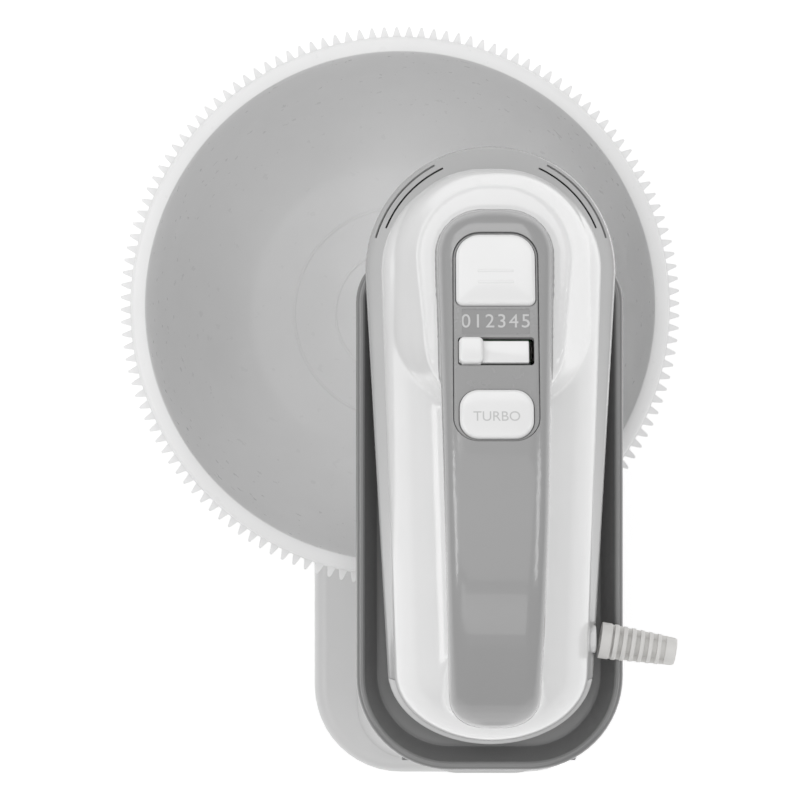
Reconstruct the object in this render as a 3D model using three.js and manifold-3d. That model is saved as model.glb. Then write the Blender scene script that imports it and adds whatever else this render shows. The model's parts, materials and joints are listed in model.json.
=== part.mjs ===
// A hand mixer docked in the cradle of its tilting stand, with a bowl that the mixer's motor turns through
// the toothed rim. Millimetres, +Z up, +Y from the handle's end towards the nose, +X to the right of a user
// behind it. Every outline is drawn about the bowl's axis at table height, or about the mixer's own origin,
// and the whole assembly is moved at the end, so that its origin is under the middle of its box.
import * as THREE from 'three';
import { LoftGeometry } from 'three/addons/geometries/LoftGeometry.js';
import { mergeVertices } from 'three/addons/utils/BufferGeometryUtils.js';
import Module from 'manifold-3d';

const wasm = await Module();
wasm.setup();

const DEG = Math.PI / 180;
const GAP = 0.3; // between pieces that touch
const RUNNING = 0.15; // round a shaft that turns

// Bowl and its drive
const BOWL_TEETH = 140;
const PINION_TEETH = 16;
const PINION_SHAFT_R = 4;
const DOG_R = 3.6; // six-sided end that couples the pinion to the mixer
const DOG_HEIGHT = 6;
const GEAR_MODULE = 1.6;
const GEAR_FACE = 8; // height of the toothed ring
const BACKLASH = 0.45;
const RIM_WIDTH = 9.2; // from the bowl's mouth to the gear's pitch circle
const BOWL_FLOOR_R = 62;
const BOWL_DEPTH = 109;
const BOWL_WALL = 2.6;
const BOWL_LIP = 4; // height of the plain lip over the teeth
const RIM_CHAMFER = 1.2;
const FLOOR_CURVE = 34; // half the height that the floor's curve runs up the wall
const TURNTABLE_R = 64;
const TURNTABLE_THICK = 3;
const TURNTABLE_SPINDLE_R = 6;

// Stand
const FOOT_R = 9;
const FOOT_HEIGHT = 4;
const BASE_TOP = 28;
const BASE_WALL = 3;
const BASE_LEFT = -37.8;
const BASE_RIGHT = 93.8;
const BASE_CORNER_R = 38;
const BASE_DISC_IN = 14.8; // by which the base's disc is smaller than the bowl's mouth
const BASE_JOIN_LEFT = 205 * DEG; // where the tongue leaves the disc
const BASE_JOIN_RIGHT = -12 * DEG;
const BASE_BEVEL = 6;
const COLUMN_HALF = 26; // half its width at the top
const HINGE_PIN_R = 4;
const HINGE_BARREL_R = 13;
const RELEASE_R = 8;
const RELEASE_CAP = 12; // length of the tilt release button's cap
const RELEASE_STEM_R = 3;
const RELEASE_Z = 100;

// Cradle arm
const ARM_REAR_CORNER_R = 37;
const ARM_FRONT_CORNER_R = 20;
const ARM_CLEAR_OF_RIM = 7; // air between the bowl's rim and the arm
const ARM_HEIGHT = 32;
const TRAY_DEPTH = 13;
const ARM_WALL = 3;
const ARM_COVER_THICK = 3;
const ARM_BEVEL = 2.4;
const DISH_TAPER = 4; // by which the tray's floor is narrower than its mouth, each side
const CHEEK_THICK = 8;
const CHEEK_R = 11;
const SOCKET_GROW = 1.5; // air round the mixer's spindle sockets in the arm
const TRAY_CLEAR = 1; // between the mixer's sides and the recess it sits in

// Mixer, about its own origin: between the two beater spindles, on its flat bottom
const MIXER_X = 35.2;
const NOSE_HALF = 48.7;
const TAIL_HALF = 40;
const TAIL_Y = -155;
const TAIL_LENGTH = 29;
const TAIL_CAP_Y = -158; // where the grey lower housing ends and the tail cap begins
const BELT_Z = 24;
const SHOULDER_Z = 34;
const SHOULDER_IN = { nose: 9.5, side: 6.2, tail: 2.6 };
const BODY_TOP = 65;
const BODY_TOP_IN = 27;
const HOUSING_WALL = 2.2;
const SCREW_POST_R = 4;
const SCREW_BORE_R = 1.9;
const SCREW_HEAD_R = 3.1;
const VENT_WIDTH = 0.9;
const CORD_Y = -142.8;
const CORD_Z = 25.7;
const RELIEF_R = 7;
const RELIEF_LENGTH = 30;
const RELIEF_DROOP = 9 * DEG;
const HANDLE_HALF_FRONT = 22;
const HANDLE_HALF_REAR = 16.8;
const HANDLE_FRONT = 21;
const HANDLE_REAR = -173;
const HANDLE_COVER_DEEP = 9;
const HANDLE_DROP = 66; // by which the grip falls below the panel's line at its rear end
const HANDLE_BEVEL = 7;
const GRIP_THICK = 27;
const GAP_FRONT = -56; // finger opening, front and rear ends at mid height
const GAP_REAR = -143;
const PANEL_TILT = 18 * DEG;
const PANEL_Y = -26.5;
const PANEL_Z = 97;
const PANEL_HALF = 15.6;
const PANEL_LENGTH = 80.7;
const PANEL_THICK = 2.4;
const EJECTOR = { half: 14.6, front: 39.3, rear: 11.7 };
const SLOT = { half: 14, front: -0.5, rear: -11.4, corner: 1.2 };
const TURBO = { half: 13.5, front: -21, rear: -39.6, corner: 7 };
const BUTTON_CLEAR = 0.35;
const KNOB_WIDTH = 8.9;
const BOARD_Z = -13; // top of the circuit board, under the panel
const EJECTOR_STEM_V = 26;
const EJECTOR_STEM_LOW = -24;

// Motor and gearing inside the mixer
const SHAFT_Z = 34;
const SHAFT_FRONT = NOSE_HALF - 14.7;
const SHAFT_REAR = -154;
const SHAFT_R = 3;
const BEARING_R = 5.5;
const WORM_MODULE = 1;
const WORM_R = 5; // pitch radius
const WHEEL_TEETH = 32;
const OUTPUT_TEETH = 24;
const OUTPUT_Y = -135.5; // where the mixer's motor drives the bowl's pinion
const WHEEL_FACE = 8;
const MOTOR_Y = -62;
const STATOR_HALF = NOSE_HALF - 23.7;
const STATOR_LENGTH = 32;
const ARMATURE_R = 13.6;
const SPINDLE_R = 5;
const SOCKET_R = 9; // outside of the lower housing's spindle sockets
const BEATER_SHAFT_R = 3;
const BEATER_R = 24;
const YOKE_TOP = 64.6; // just under the end of the ejector's stem
const BEATER_TOP = 37.5;
const BEATER_BOTTOM_GAP = 16; // over the bowl's floor

// Places that follow from the sizes above
const GEAR_R = GEAR_MODULE * BOWL_TEETH / 2;
const BOWL_MOUTH_R = GEAR_R - RIM_WIDTH;
const BASE_DISC_R = BOWL_MOUTH_R - BASE_DISC_IN;
const PINION_R = GEAR_MODULE * PINION_TEETH / 2;
const TURNTABLE_Z = BASE_TOP + 0.6;
const BOWL_FLOOR_Z = TURNTABLE_Z + TURNTABLE_THICK + GAP + 1.5 + BOWL_WALL;
const RIM_Z = BOWL_FLOOR_Z + BOWL_DEPTH;
const GEAR_TOP = RIM_Z - BOWL_LIP;
const ARM_BOTTOM = RIM_Z + ARM_CLEAR_OF_RIM;
const ARM_TOP = ARM_BOTTOM + ARM_HEIGHT;
const TRAY_FLOOR = ARM_TOP - TRAY_DEPTH;
const MIXER_Z = TRAY_FLOOR + GAP;
const HINGE_Z = GEAR_TOP - GEAR_FACE / 2; // level with the gears, so the pinion leaves them straight up
const SPINDLE_X = WORM_R + WORM_MODULE * WHEEL_TEETH / 2;
const OUTPUT_X = -(WORM_R + WORM_MODULE * OUTPUT_TEETH / 2);
const PINION_X = MIXER_X + OUTPUT_X;
const PINION_Y = -Math.sqrt((GEAR_R + PINION_R) ** 2 - PINION_X ** 2);
const MIXER_Y = PINION_Y - OUTPUT_Y;
const PINION_ANGLE = Math.atan2(PINION_Y, PINION_X);
const ARM_HALF = NOSE_HALF + 3.8;
const ARM_FRONT = MIXER_Y + 8.5;
const ARM_REAR = MIXER_Y - 195.5;
const ARM_COVER_REAR = MIXER_Y - 154;
const HINGE_Y = MIXER_Y - 184;
const COLUMN_FRONT = HINGE_Y + 22;
const COLUMN_REAR = HINGE_Y - 19;
const BASE_REAR = HINGE_Y - 30.6;
const RELEASE_Y = HINGE_Y + 2;
const SCREW_X = NOSE_HALF - 14.7;
const SCREW_PLACES = [[-SCREW_X, -30], [SCREW_X, -30], [-TAIL_HALF + 16, -106], [TAIL_HALF - 13, -106]];
// Vent slits: radius about the middle between the spindles, first and last degree
const VENT_ARCS = [[NOSE_HALF - 2.3, 16, 62], [NOSE_HALF - 4.9, 22, 65]];
const COMMUTATOR_Y = MOTOR_Y - STATOR_LENGTH / 2 - 17;
const FAN_Y = MOTOR_Y + STATOR_LENGTH / 2 + 12.5;
const RELEASE_OUT = MIXER_X - 30; // outer end of the tilt release button
const RELEASE_SEAT = RELEASE_OUT + 24; // where its spring bears on the column

// ---------------------------------------------------------------- materials
function plastic(colour, roughness) {
  return new THREE.MeshStandardMaterial({ color: colour, roughness, metalness: 0 });
}
function metal(colour, roughness) {
  return new THREE.MeshStandardMaterial({ color: colour, roughness, metalness: 1 });
}
const WHITE_GLOSS = plastic(0xf2f2f2, 0.15);
const MID_GREY_GLOSS = plastic(0x8a8a8a, 0.18);
const HANDLE_GREY = plastic(0x9a9a9a, 0.16);
const DARK_GREY_GLOSS = plastic(0x5c5c5c, 0.2);
const LIGHT_GREY = plastic(0xc9c9c9, 0.3);
const BOWL_GREY = plastic(0xd6d6d6, 0.35);
const NYLON = plastic(0xeae6d8, 0.4);
const BLACK_RUBBER = plastic(0x1c1c1c, 0.8);
const GREEN_BOARD = plastic(0x2f6b3c, 0.4);
const STEEL = metal(0xc8c8c8, 0.25);
const LAMINATION = metal(0x70747a, 0.45);
const COPPER = metal(0xb5683a, 0.35);
const BRONZE = metal(0xa98248, 0.35);
const CARBON = plastic(0x2a2a2a, 0.7);

// ---------------------------------------------------------------- small tools
const CAPPED = { capStart: true, capEnd: true };
function solidOf(geometry) {
  const bare = new THREE.BufferGeometry();
  bare.setAttribute('position', geometry.getAttribute('position'));
  bare.setIndex(geometry.index);
  const merged = mergeVertices(bare, 1e-4);
  const triVerts = new Uint32Array(merged.index.array);
  const vertProperties = merged.attributes.position.array;
  return new wasm.Manifold(new wasm.Mesh({ numProp: 3, vertProperties, triVerts }));
}
function geometryOf(solid) {
  const mesh = solid.getMesh();
  const step = mesh.numProp;
  const points = new Float32Array(mesh.numVert * 3);
  for (let i = 0; i < mesh.numVert; i++) {
    points.set(mesh.vertProperties.subarray(i * step, i * step + 3), i * 3);
  }
  const geometry = new THREE.BufferGeometry();
  geometry.setAttribute('position', new THREE.BufferAttribute(points, 3));
  geometry.setIndex(new THREE.BufferAttribute(mesh.triVerts, 1));
  geometry.computeVertexNormals();
  return geometry;
}
function node(name, shape, material, position = [0, 0, 0]) {
  const geometry = shape.isBufferGeometry ? shape : geometryOf(shape);
  const mesh = new THREE.Mesh(geometry, material);
  mesh.name = name;
  mesh.position.set(...position);
  return mesh;
}
function add(first, ...others) {
  return others.reduce((sum, other) => sum.add(other), first);
}
function cut(first, ...others) {
  return others.reduce((rest, other) => rest.subtract(other), first);
}
// A cylinder along Z from z = low to high.
function postGeometry(r, low, high, x = 0, y = 0, sides = 16, topR = r) {
  const geometry = new THREE.CylinderGeometry(topR, r, high - low, sides);
  return geometry.rotateX(Math.PI / 2).translate(x, y, (low + high) / 2);
}
function post(...sizes) {
  return solidOf(postGeometry(...sizes));
}
// A cylinder along Y from y = low to high.
function rodGeometry(r, low, high, x = 0, z = 0, sides = 16) {
  return new THREE.CylinderGeometry(r, r, high - low, sides).translate(x, (low + high) / 2, z);
}
function rod(...sizes) {
  return solidOf(rodGeometry(...sizes));
}
// A cylinder along X from x = low to high.
function barGeometry(r, low, high, y = 0, z = 0, sides = 16) {
  const geometry = new THREE.CylinderGeometry(r, r, high - low, sides).rotateZ(-Math.PI / 2);
  return geometry.translate((low + high) / 2, y, z);
}
function bar(...sizes) {
  return solidOf(barGeometry(...sizes));
}
// A box given by its lowest and highest corners.
function blockGeometry(low, high) {
  const size = high.map((value, i) => value - low[i]);
  const middle = high.map((value, i) => (value + low[i]) / 2);
  return new THREE.BoxGeometry(...size).translate(...middle);
}
function block(low, high) {
  return solidOf(blockGeometry(low, high));
}
function roundedRect(left, right, rear, front, rearR, frontR) {
  const shape = new THREE.Shape();
  shape.moveTo(left + rearR, rear);
  shape.lineTo(right - rearR, rear);
  shape.absarc(right - rearR, rear + rearR, rearR, -Math.PI / 2, 0, false);
  shape.absarc(right - frontR, front - frontR, frontR, 0, Math.PI / 2, false);
  shape.absarc(left + frontR, front - frontR, frontR, Math.PI / 2, Math.PI, false);
  shape.absarc(left + rearR, rear + rearR, rearR, Math.PI, Math.PI * 1.5, false);
  return shape;
}
// A shape in the XY plane, as a plate from z = low to high, whose top edge may be rounded by bevel.
function plateGeometry(shape, low, high, { bevel = 0, segments = 6, bevelSegments = 2 } = {}) {
  const geometry = new THREE.ExtrudeGeometry(shape, {
    depth: high - low - bevel,
    curveSegments: segments,
    bevelEnabled: bevel > 0,
    bevelThickness: bevel,
    bevelSize: bevel,
    bevelOffset: -bevel,
    bevelSegments,
  });
  return geometry.translate(0, 0, low);
}
function plate(shape, low, high, options = {}) {
  const solid = solidOf(plateGeometry(shape, low, high, options));
  return options.bevel ? cut(solid, block([-999, -999, low - 99], [999, 999, low])) : solid;
}
// A shape drawn as (y, z), as a slab from x = low to high.
function slab(shape, low, high, { bevel = 0, segments = 6, bevelSegments = 2 } = {}) {
  const geometry = new THREE.ExtrudeGeometry(shape, {
    depth: high - low - 2 * bevel,
    curveSegments: segments,
    bevelEnabled: bevel > 0,
    bevelThickness: bevel,
    bevelSize: bevel,
    bevelOffset: -bevel,
    bevelSegments,
  });
  const turn = new THREE.Matrix4().makeBasis(
    new THREE.Vector3(0, 1, 0), new THREE.Vector3(0, 0, 1), new THREE.Vector3(1, 0, 0));
  return geometry.applyMatrix4(turn).translate(low + bevel, 0, 0);
}
function lathe(profile, segments = 32) {
  const points = profile.map(([r, z]) => new THREE.Vector2(r, z));
  return new THREE.LatheGeometry(points, segments).rotateX(Math.PI / 2);
}
// A ring or bush along Z.
function ring(inner, outer, low, high, segments = 16) {
  return lathe([[inner, low], [outer, low], [outer, high], [inner, high], [inner, low]], segments);
}

// ---------------------------------------------------------------- gears
function involute(angle) {
  return Math.tan(angle) - angle;
}
// Outline of a spur gear with a tooth centred on the angle phase.
function gearOutline(teeth, module, options = {}) {
  const { clear = 0.5, backlash = BACKLASH, phase = 0, flank = 1, addendum = 1 } = options;
  const pitchR = module * teeth / 2;
  const baseR = pitchR * Math.cos(20 * DEG);
  const rootR = pitchR - module * (1 + clear);
  const tipR = pitchR + module * addendum;
  const half = (Math.PI * module / 2 - backlash) / 2 / pitchR;
  const halfAt = (r) => half + involute(20 * DEG) - involute(Math.acos(Math.min(1, baseR / r)));
  const radii = Array.from({ length: flank + 1 }, (_, i) => rootR + (tipR - rootR) * i / flank);
  const points = [];
  for (let tooth = 0; tooth < teeth; tooth++) {
    const middle = phase + tooth / teeth * 2 * Math.PI;
    for (const r of radii) points.push([r, middle - halfAt(r)]);
    for (const r of [...radii].reverse()) points.push([r, middle + halfAt(r)]);
  }
  return points.map(([r, a]) => new THREE.Vector2(r * Math.cos(a), r * Math.sin(a)));
}
// A worm wheel about Z, its teeth leaning as the worm's thread does, with a tooth centred on phase.
function wormWheel(teeth, phase, boreR) {
  const lean = WORM_MODULE / (2 * WORM_R) / (WORM_MODULE * teeth / 2);
  const shape = { backlash: 0.7, clear: 0.35, addendum: 0.85 };
  const outline = (z) => gearOutline(teeth, WORM_MODULE, { ...shape, phase: phase + lean * z })
    .map((p) => new THREE.Vector3(p.x, p.y, z));
  const toothed = new LoftGeometry([outline(-WHEEL_FACE / 2), outline(WHEEL_FACE / 2)], CAPPED);
  return cut(solidOf(toothed), post(boreR, -WHEEL_FACE, WHEEL_FACE));
}
// One start of worm thread about Y from y = low to high, with its middle at x > 0 passing y = through.
function wormThread(low, high, through) {
  const pitch = Math.PI * WORM_MODULE;
  const steps = 10; // a turn
  const inner = SHAFT_R - 0.4;
  const outer = WORM_R + WORM_MODULE * 0.85;
  const widths = [[inner, 1.05], [outer, 0.42], [outer, -0.42], [inner, -1.05]];
  const first = Math.ceil((low - through) / pitch * steps);
  const last = Math.floor((high - through) / pitch * steps);
  const sections = [];
  for (let i = first; i <= last; i++) {
    const turn = i / steps * 2 * Math.PI;
    sections.push(widths.map(([r, half]) => new THREE.Vector3(
      r * Math.cos(turn), through + pitch * i / steps + half * WORM_MODULE, -r * Math.sin(turn))));
  }
  return solidOf(new LoftGeometry(sections, CAPPED));
}

// ---------------------------------------------------------------- stand
function baseShape(inset) {
  const left = BASE_LEFT + inset;
  const right = BASE_RIGHT - inset;
  const rear = BASE_REAR + inset;
  const corner = BASE_CORNER_R - inset;
  const disc = BASE_DISC_R - inset;
  const joinLeft = [disc * Math.cos(BASE_JOIN_LEFT), disc * Math.sin(BASE_JOIN_LEFT)];
  const joinRight = [disc * Math.cos(BASE_JOIN_RIGHT), disc * Math.sin(BASE_JOIN_RIGHT)];
  const tangent = 34; // how far the curve that joins disc and tongue runs along each
  const shape = new THREE.Shape();
  shape.moveTo(left, rear + corner);
  shape.absarc(left + corner, rear + corner, corner, Math.PI, Math.PI * 1.5, false);
  shape.absarc(right - corner, rear + corner, corner, -Math.PI / 2, 0, false);
  shape.lineTo(right, HINGE_Y + 97);
  const leave = tangent / 2;
  shape.bezierCurveTo(
    right, HINGE_Y + 122,
    joinRight[0] - 0.8 * leave * Math.sin(BASE_JOIN_RIGHT), joinRight[1] - leave,
    ...joinRight);
  shape.absarc(0, 0, disc, BASE_JOIN_RIGHT, BASE_JOIN_LEFT, false);
  shape.bezierCurveTo(
    joinLeft[0] - tangent * Math.sin(BASE_JOIN_LEFT), joinLeft[1] + tangent * Math.cos(BASE_JOIN_LEFT),
    left, HINGE_Y + 92,
    left, HINGE_Y + 60);
  return shape;
}
function standBase() {
  const outer = plate(baseShape(0), FOOT_HEIGHT, BASE_TOP, { bevel: BASE_BEVEL, segments: 5 });
  const hollow = plate(baseShape(BASE_WALL), FOOT_HEIGHT - 1, BASE_TOP - BASE_WALL, { segments: 5 });
  const boss = post(TURNTABLE_SPINDLE_R + 5, FOOT_HEIGHT + 6, BASE_TOP - 1);
  const bore = post(TURNTABLE_SPINDLE_R + 2 + GAP, 0, BASE_TOP + 9);
  return cut(add(cut(outer, hollow), boss), bore);
}
function baseCover() {
  return plateGeometry(baseShape(BASE_WALL + 2 * GAP), FOOT_HEIGHT + GAP, FOOT_HEIGHT + 3, { segments: 5 });
}
const COLUMN_ROWS = [
  // height over the base, half width, front, rear
  [0, 54, COLUMN_FRONT + 22, COLUMN_REAR - 5],
  [14, 42, COLUMN_FRONT + 12, COLUMN_REAR - 3],
  [36, 33, COLUMN_FRONT + 4, COLUMN_REAR - 1.5],
  [66, 28, COLUMN_FRONT, COLUMN_REAR],
];
function roundSection(halfX, front, rear, z, corner = 0.32, corners = 4) {
  const r = Math.min(halfX, (front - rear) / 2) * 2 * corner;
  const middleY = (front + rear) / 2;
  const halfY = (front - rear) / 2;
  const points = [];
  for (const [sx, sy, start] of [[1, 1, 0], [-1, 1, 90], [-1, -1, 180], [1, -1, 270]]) {
    for (let i = 0; i <= corners; i++) {
      const a = (start + 90 * i / corners) * DEG;
      const x = sx * (halfX - r) + r * Math.cos(a);
      points.push(new THREE.Vector3(x, middleY + sy * (halfY - r) + r * Math.sin(a), z));
    }
  }
  return points;
}
function columnSolid(inset, topZ) {
  const top = [topZ - BASE_TOP, COLUMN_HALF, COLUMN_FRONT, COLUMN_REAR];
  const rows = [...COLUMN_ROWS.filter(([up]) => up < top[0] - 5), top];
  const sections = rows.map(([up, half, front, rear]) => {
    const z = BASE_TOP + GAP + up - (inset && up === 0 ? 1 : 0);
    return roundSection(half - inset, front - inset, rear + inset, z);
  });
  return solidOf(new LoftGeometry(sections, CAPPED).translate(MIXER_X, 0, 0));
}
function column() {
  const shoulder = HINGE_Z - HINGE_BARREL_R + 4;
  const outer = columnSolid(0, shoulder);
  const hollow = columnSolid(BASE_WALL, RELEASE_Z - RELEASE_R - 5);
  const barrel = bar(HINGE_BARREL_R, MIXER_X - COLUMN_HALF, MIXER_X + COLUMN_HALF, HINGE_Y, HINGE_Z, 20);
  const web = block([MIXER_X - COLUMN_HALF, HINGE_Y - HINGE_BARREL_R + 1, shoulder - 6],
    [MIXER_X + COLUMN_HALF, HINGE_Y + HINGE_BARREL_R - 1, HINGE_Z]);
  const pinBore = bar(HINGE_PIN_R + RUNNING, -99, 199, HINGE_Y, HINGE_Z);
  const buttonBore = bar(RELEASE_R + GAP, MIXER_X - 60, RELEASE_SEAT, RELEASE_Y, RELEASE_Z);
  const stemBore = bar(RELEASE_STEM_R + GAP, RELEASE_SEAT - 1, RELEASE_SEAT + 14, RELEASE_Y, RELEASE_Z);
  return cut(add(cut(outer, hollow), barrel, web), pinBore, buttonBore, stemBore);
}
function releaseButton() {
  const cap = bar(RELEASE_R, RELEASE_OUT, RELEASE_OUT + RELEASE_CAP, RELEASE_Y, RELEASE_Z);
  const stem = bar(RELEASE_STEM_R, RELEASE_OUT + RELEASE_CAP - 1, RELEASE_SEAT + 4, RELEASE_Y, RELEASE_Z);
  return add(cap, stem);
}
// Helical wire about X, from x = low to high.
function coilSpring(low, high, y, z, coilR = 4.4, wireR = 0.5, turns = 3) {
  const perTurn = 8;
  const sections = [];
  for (let i = 0; i <= turns * perTurn; i++) {
    const a = i / perTurn * 2 * Math.PI;
    const x = low + wireR + (high - low - 2 * wireR) * i / (turns * perTurn);
    sections.push([0, 1, 2, 3].map((k) => {
      const b = k * Math.PI / 2;
      const r = coilR + wireR * Math.cos(b);
      return new THREE.Vector3(x - wireR * Math.sin(b), y + r * Math.cos(a), z + r * Math.sin(a));
    }));
  }
  return new LoftGeometry(sections, CAPPED);
}

function standGroup() {
  const stand = new THREE.Group();
  stand.add(node('stand_base', standBase(), LIGHT_GREY));
  stand.add(node('base_cover', baseCover(), DARK_GREY_GLOSS));
  const feet = {
    foot_front_left: [-48, 42], foot_front_right: [48, 42],
    foot_rear_left: [BASE_LEFT + 26, BASE_REAR + 26], foot_rear_right: [BASE_RIGHT - 26, BASE_REAR + 26],
  };
  for (const [name, [x, y]] of Object.entries(feet)) {
    const pad = postGeometry(FOOT_R - 1, 0, FOOT_HEIGHT, 0, 0, 14, FOOT_R);
    stand.add(node(name, pad, BLACK_RUBBER, [x, y, 0]));
  }
  stand.add(node('column', column(), LIGHT_GREY));
  const pinEnd = COLUMN_HALF + 2 + CHEEK_THICK;
  const pin = barGeometry(HINGE_PIN_R, -pinEnd, pinEnd);
  stand.add(node('hinge_pin', pin, STEEL, [MIXER_X, HINGE_Y, HINGE_Z]));
  stand.add(node('tilt_release_button', releaseButton(), DARK_GREY_GLOSS));
  const spring = coilSpring(RELEASE_OUT + RELEASE_CAP + GAP, RELEASE_SEAT - GAP, RELEASE_Y, RELEASE_Z);
  stand.add(node('release_spring', spring, STEEL));
  const bush = ring(TURNTABLE_SPINDLE_R + RUNNING, TURNTABLE_SPINDLE_R + 2, FOOT_HEIGHT + 6, BASE_TOP - 1);
  stand.add(node('turntable_bush', bush, BRONZE));
  return stand;
}

// ---------------------------------------------------------------- bowl
function bowlProfile(offset) {
  const corner = new THREE.CubicBezierCurve(
    new THREE.Vector2(BOWL_FLOOR_R, BOWL_FLOOR_Z),
    new THREE.Vector2(BOWL_FLOOR_R + 20, BOWL_FLOOR_Z),
    new THREE.Vector2(BOWL_MOUTH_R - 8, BOWL_FLOOR_Z + FLOOR_CURVE),
    new THREE.Vector2(BOWL_MOUTH_R - 3, BOWL_FLOOR_Z + 2 * FLOOR_CURVE));
  return corner.getPoints(4).map((p, i) => {
    const slope = corner.getTangent(i / 4);
    return [p.x + slope.y * offset, p.y - slope.x * offset];
  });
}
function bowl() {
  const rootR = GEAR_R - GEAR_MODULE * 1.5;
  const skirtR = rootR - BOWL_WALL;
  const outside = bowlProfile(BOWL_WALL);
  const footR = BOWL_FLOOR_R - 6;
  const footZ = TURNTABLE_Z + TURNTABLE_THICK + GAP;
  const underZ = BOWL_FLOOR_Z - BOWL_WALL;
  const wallR = BOWL_MOUTH_R + BOWL_WALL;
  const lipR = rootR - 0.6;
  const skirtLow = GEAR_TOP - GEAR_FACE + 2;
  const profile = [
    [0, underZ], [footR - 3, underZ], [footR - 3, footZ], [footR, footZ], [footR, underZ],
    ...outside,
    [wallR, GEAR_TOP - 14], [wallR, GEAR_TOP], [skirtR, GEAR_TOP], [skirtR, skirtLow],
    [lipR, skirtLow], [lipR, RIM_Z - RIM_CHAMFER], [lipR - RIM_CHAMFER, RIM_Z],
    [BOWL_MOUTH_R + 1, RIM_Z], [BOWL_MOUTH_R, RIM_Z - RIM_CHAMFER],
    ...bowlProfile(0).reverse(), [0, BOWL_FLOOR_Z],
  ];
  const shell = solidOf(lathe(profile, 40));
  const teeth = new THREE.Shape(gearOutline(BOWL_TEETH, GEAR_MODULE, { phase: PINION_ANGLE, clear: 0.5 }));
  teeth.holes.push(new THREE.Path().absarc(0, 0, skirtR + 1.2, 0, 2 * Math.PI, true));
  return add(shell, plate(teeth, GEAR_TOP - GEAR_FACE, GEAR_TOP, { segments: 20 }));
}
function turntable() {
  const top = TURNTABLE_Z + TURNTABLE_THICK;
  return lathe([
    [0, 12], [TURNTABLE_SPINDLE_R, 12], [TURNTABLE_SPINDLE_R, TURNTABLE_Z], [TURNTABLE_R, TURNTABLE_Z],
    [TURNTABLE_R, top + 1.5], [TURNTABLE_R - 2, top + 1.5], [TURNTABLE_R - 2, top], [0, top],
  ], 32);
}
function bowlGroup() {
  const turning = new THREE.Group();
  turning.add(node('bowl', bowl(), BOWL_GREY));
  turning.add(node('turntable', turntable(), LIGHT_GREY));
  return turning;
}

// ---------------------------------------------------------------- cradle arm
function armShape(inset, front = ARM_FRONT - inset, rear = ARM_REAR + inset) {
  return roundedRect(MIXER_X - ARM_HALF + inset, MIXER_X + ARM_HALF - inset, rear, front,
    ARM_REAR_CORNER_R - inset, ARM_FRONT_CORNER_R - inset);
}
// The opening that the two spindle sockets reach through.
function socketShape(grow) {
  const half = SPINDLE_X + SOCKET_R + grow;
  const deep = SOCKET_R + grow;
  const r = deep - 0.01;
  return roundedRect(MIXER_X - half, MIXER_X + half, MIXER_Y - deep, MIXER_Y + deep, r, r);
}
function tray() {
  const outer = plate(armShape(0), ARM_BOTTOM, ARM_TOP, { bevel: ARM_BEVEL, segments: 6 });
  const dishRing = (inset, z) => armShape(inset).getPoints(6).map((p) => new THREE.Vector3(p.x, p.y, z));
  const dish = new LoftGeometry([
    dishRing(ARM_WALL + DISH_TAPER, TRAY_FLOOR),
    dishRing(ARM_WALL, ARM_TOP + 0.1),
  ], CAPPED);
  const under = plate(armShape(ARM_WALL), ARM_BOTTOM - 1, TRAY_FLOOR - ARM_WALL, { segments: 6 });
  const shell = cut(outer, solidOf(dish), under);
  const cheek = new THREE.Shape();
  cheek.moveTo(HINGE_Y + 16, TRAY_FLOOR - 1);
  cheek.lineTo(HINGE_Y - 7, TRAY_FLOOR - 1);
  cheek.absarc(HINGE_Y, HINGE_Z, CHEEK_R, Math.PI, 2 * Math.PI, false);
  const inner = COLUMN_HALF + 1;
  const cheekStarts = [MIXER_X - inner - CHEEK_THICK, MIXER_X + inner];
  const cheeks = cheekStarts.map((x) => solidOf(slab(cheek, x, x + CHEEK_THICK)));
  const pinBore = bar(HINGE_PIN_R + RUNNING, -99, 199, HINGE_Y, HINGE_Z);
  const sockets = plate(socketShape(SOCKET_GROW), ARM_BOTTOM - 5, ARM_TOP + 5, { segments: 5 });
  const driveBore = post(PINION_SHAFT_R + 2 + GAP, ARM_BOTTOM - 5, ARM_TOP, PINION_X, PINION_Y);
  const recess = lowerBody(-TRAY_CLEAR, 0).translate([MIXER_X, MIXER_Y, MIXER_Z])
    .intersect(block([-99, -299, TRAY_FLOOR], [199, 99, ARM_TOP + 9]));
  return cut(add(shell, ...cheeks), recess, pinBore, sockets, driveBore);
}
function armCover() {
  const outline = roundedRect(MIXER_X - ARM_HALF + ARM_WALL + GAP, MIXER_X + ARM_HALF - ARM_WALL - GAP,
    ARM_COVER_REAR, ARM_FRONT - ARM_WALL - GAP, 3, ARM_FRONT_CORNER_R - ARM_WALL - GAP);
  const sheet = plate(outline, ARM_BOTTOM, ARM_BOTTOM + ARM_COVER_THICK, { segments: 6 });
  const sockets = plate(socketShape(SOCKET_GROW), ARM_BOTTOM - 5, ARM_TOP, { segments: 5 });
  const driveBore = post(PINION_SHAFT_R + 2 + GAP, ARM_BOTTOM - 5, ARM_TOP, PINION_X, PINION_Y);
  return cut(sheet, sockets, driveBore);
}
function pinion() {
  const phase = PINION_ANGLE + Math.PI + Math.PI / PINION_TEETH;
  const toothed = new THREE.Shape(gearOutline(PINION_TEETH, GEAR_MODULE, { phase, flank: 3, clear: 0.4 }));
  const gear = plate(toothed, GEAR_TOP - GEAR_FACE, GEAR_TOP);
  const shaft = post(PINION_SHAFT_R, GEAR_TOP - 1, TRAY_FLOOR + 1, 0, 0, 24);
  const dog = post(DOG_R, TRAY_FLOOR, TRAY_FLOOR + DOG_HEIGHT, 0, 0, 6);
  return add(gear, shaft, dog);
}
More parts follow.
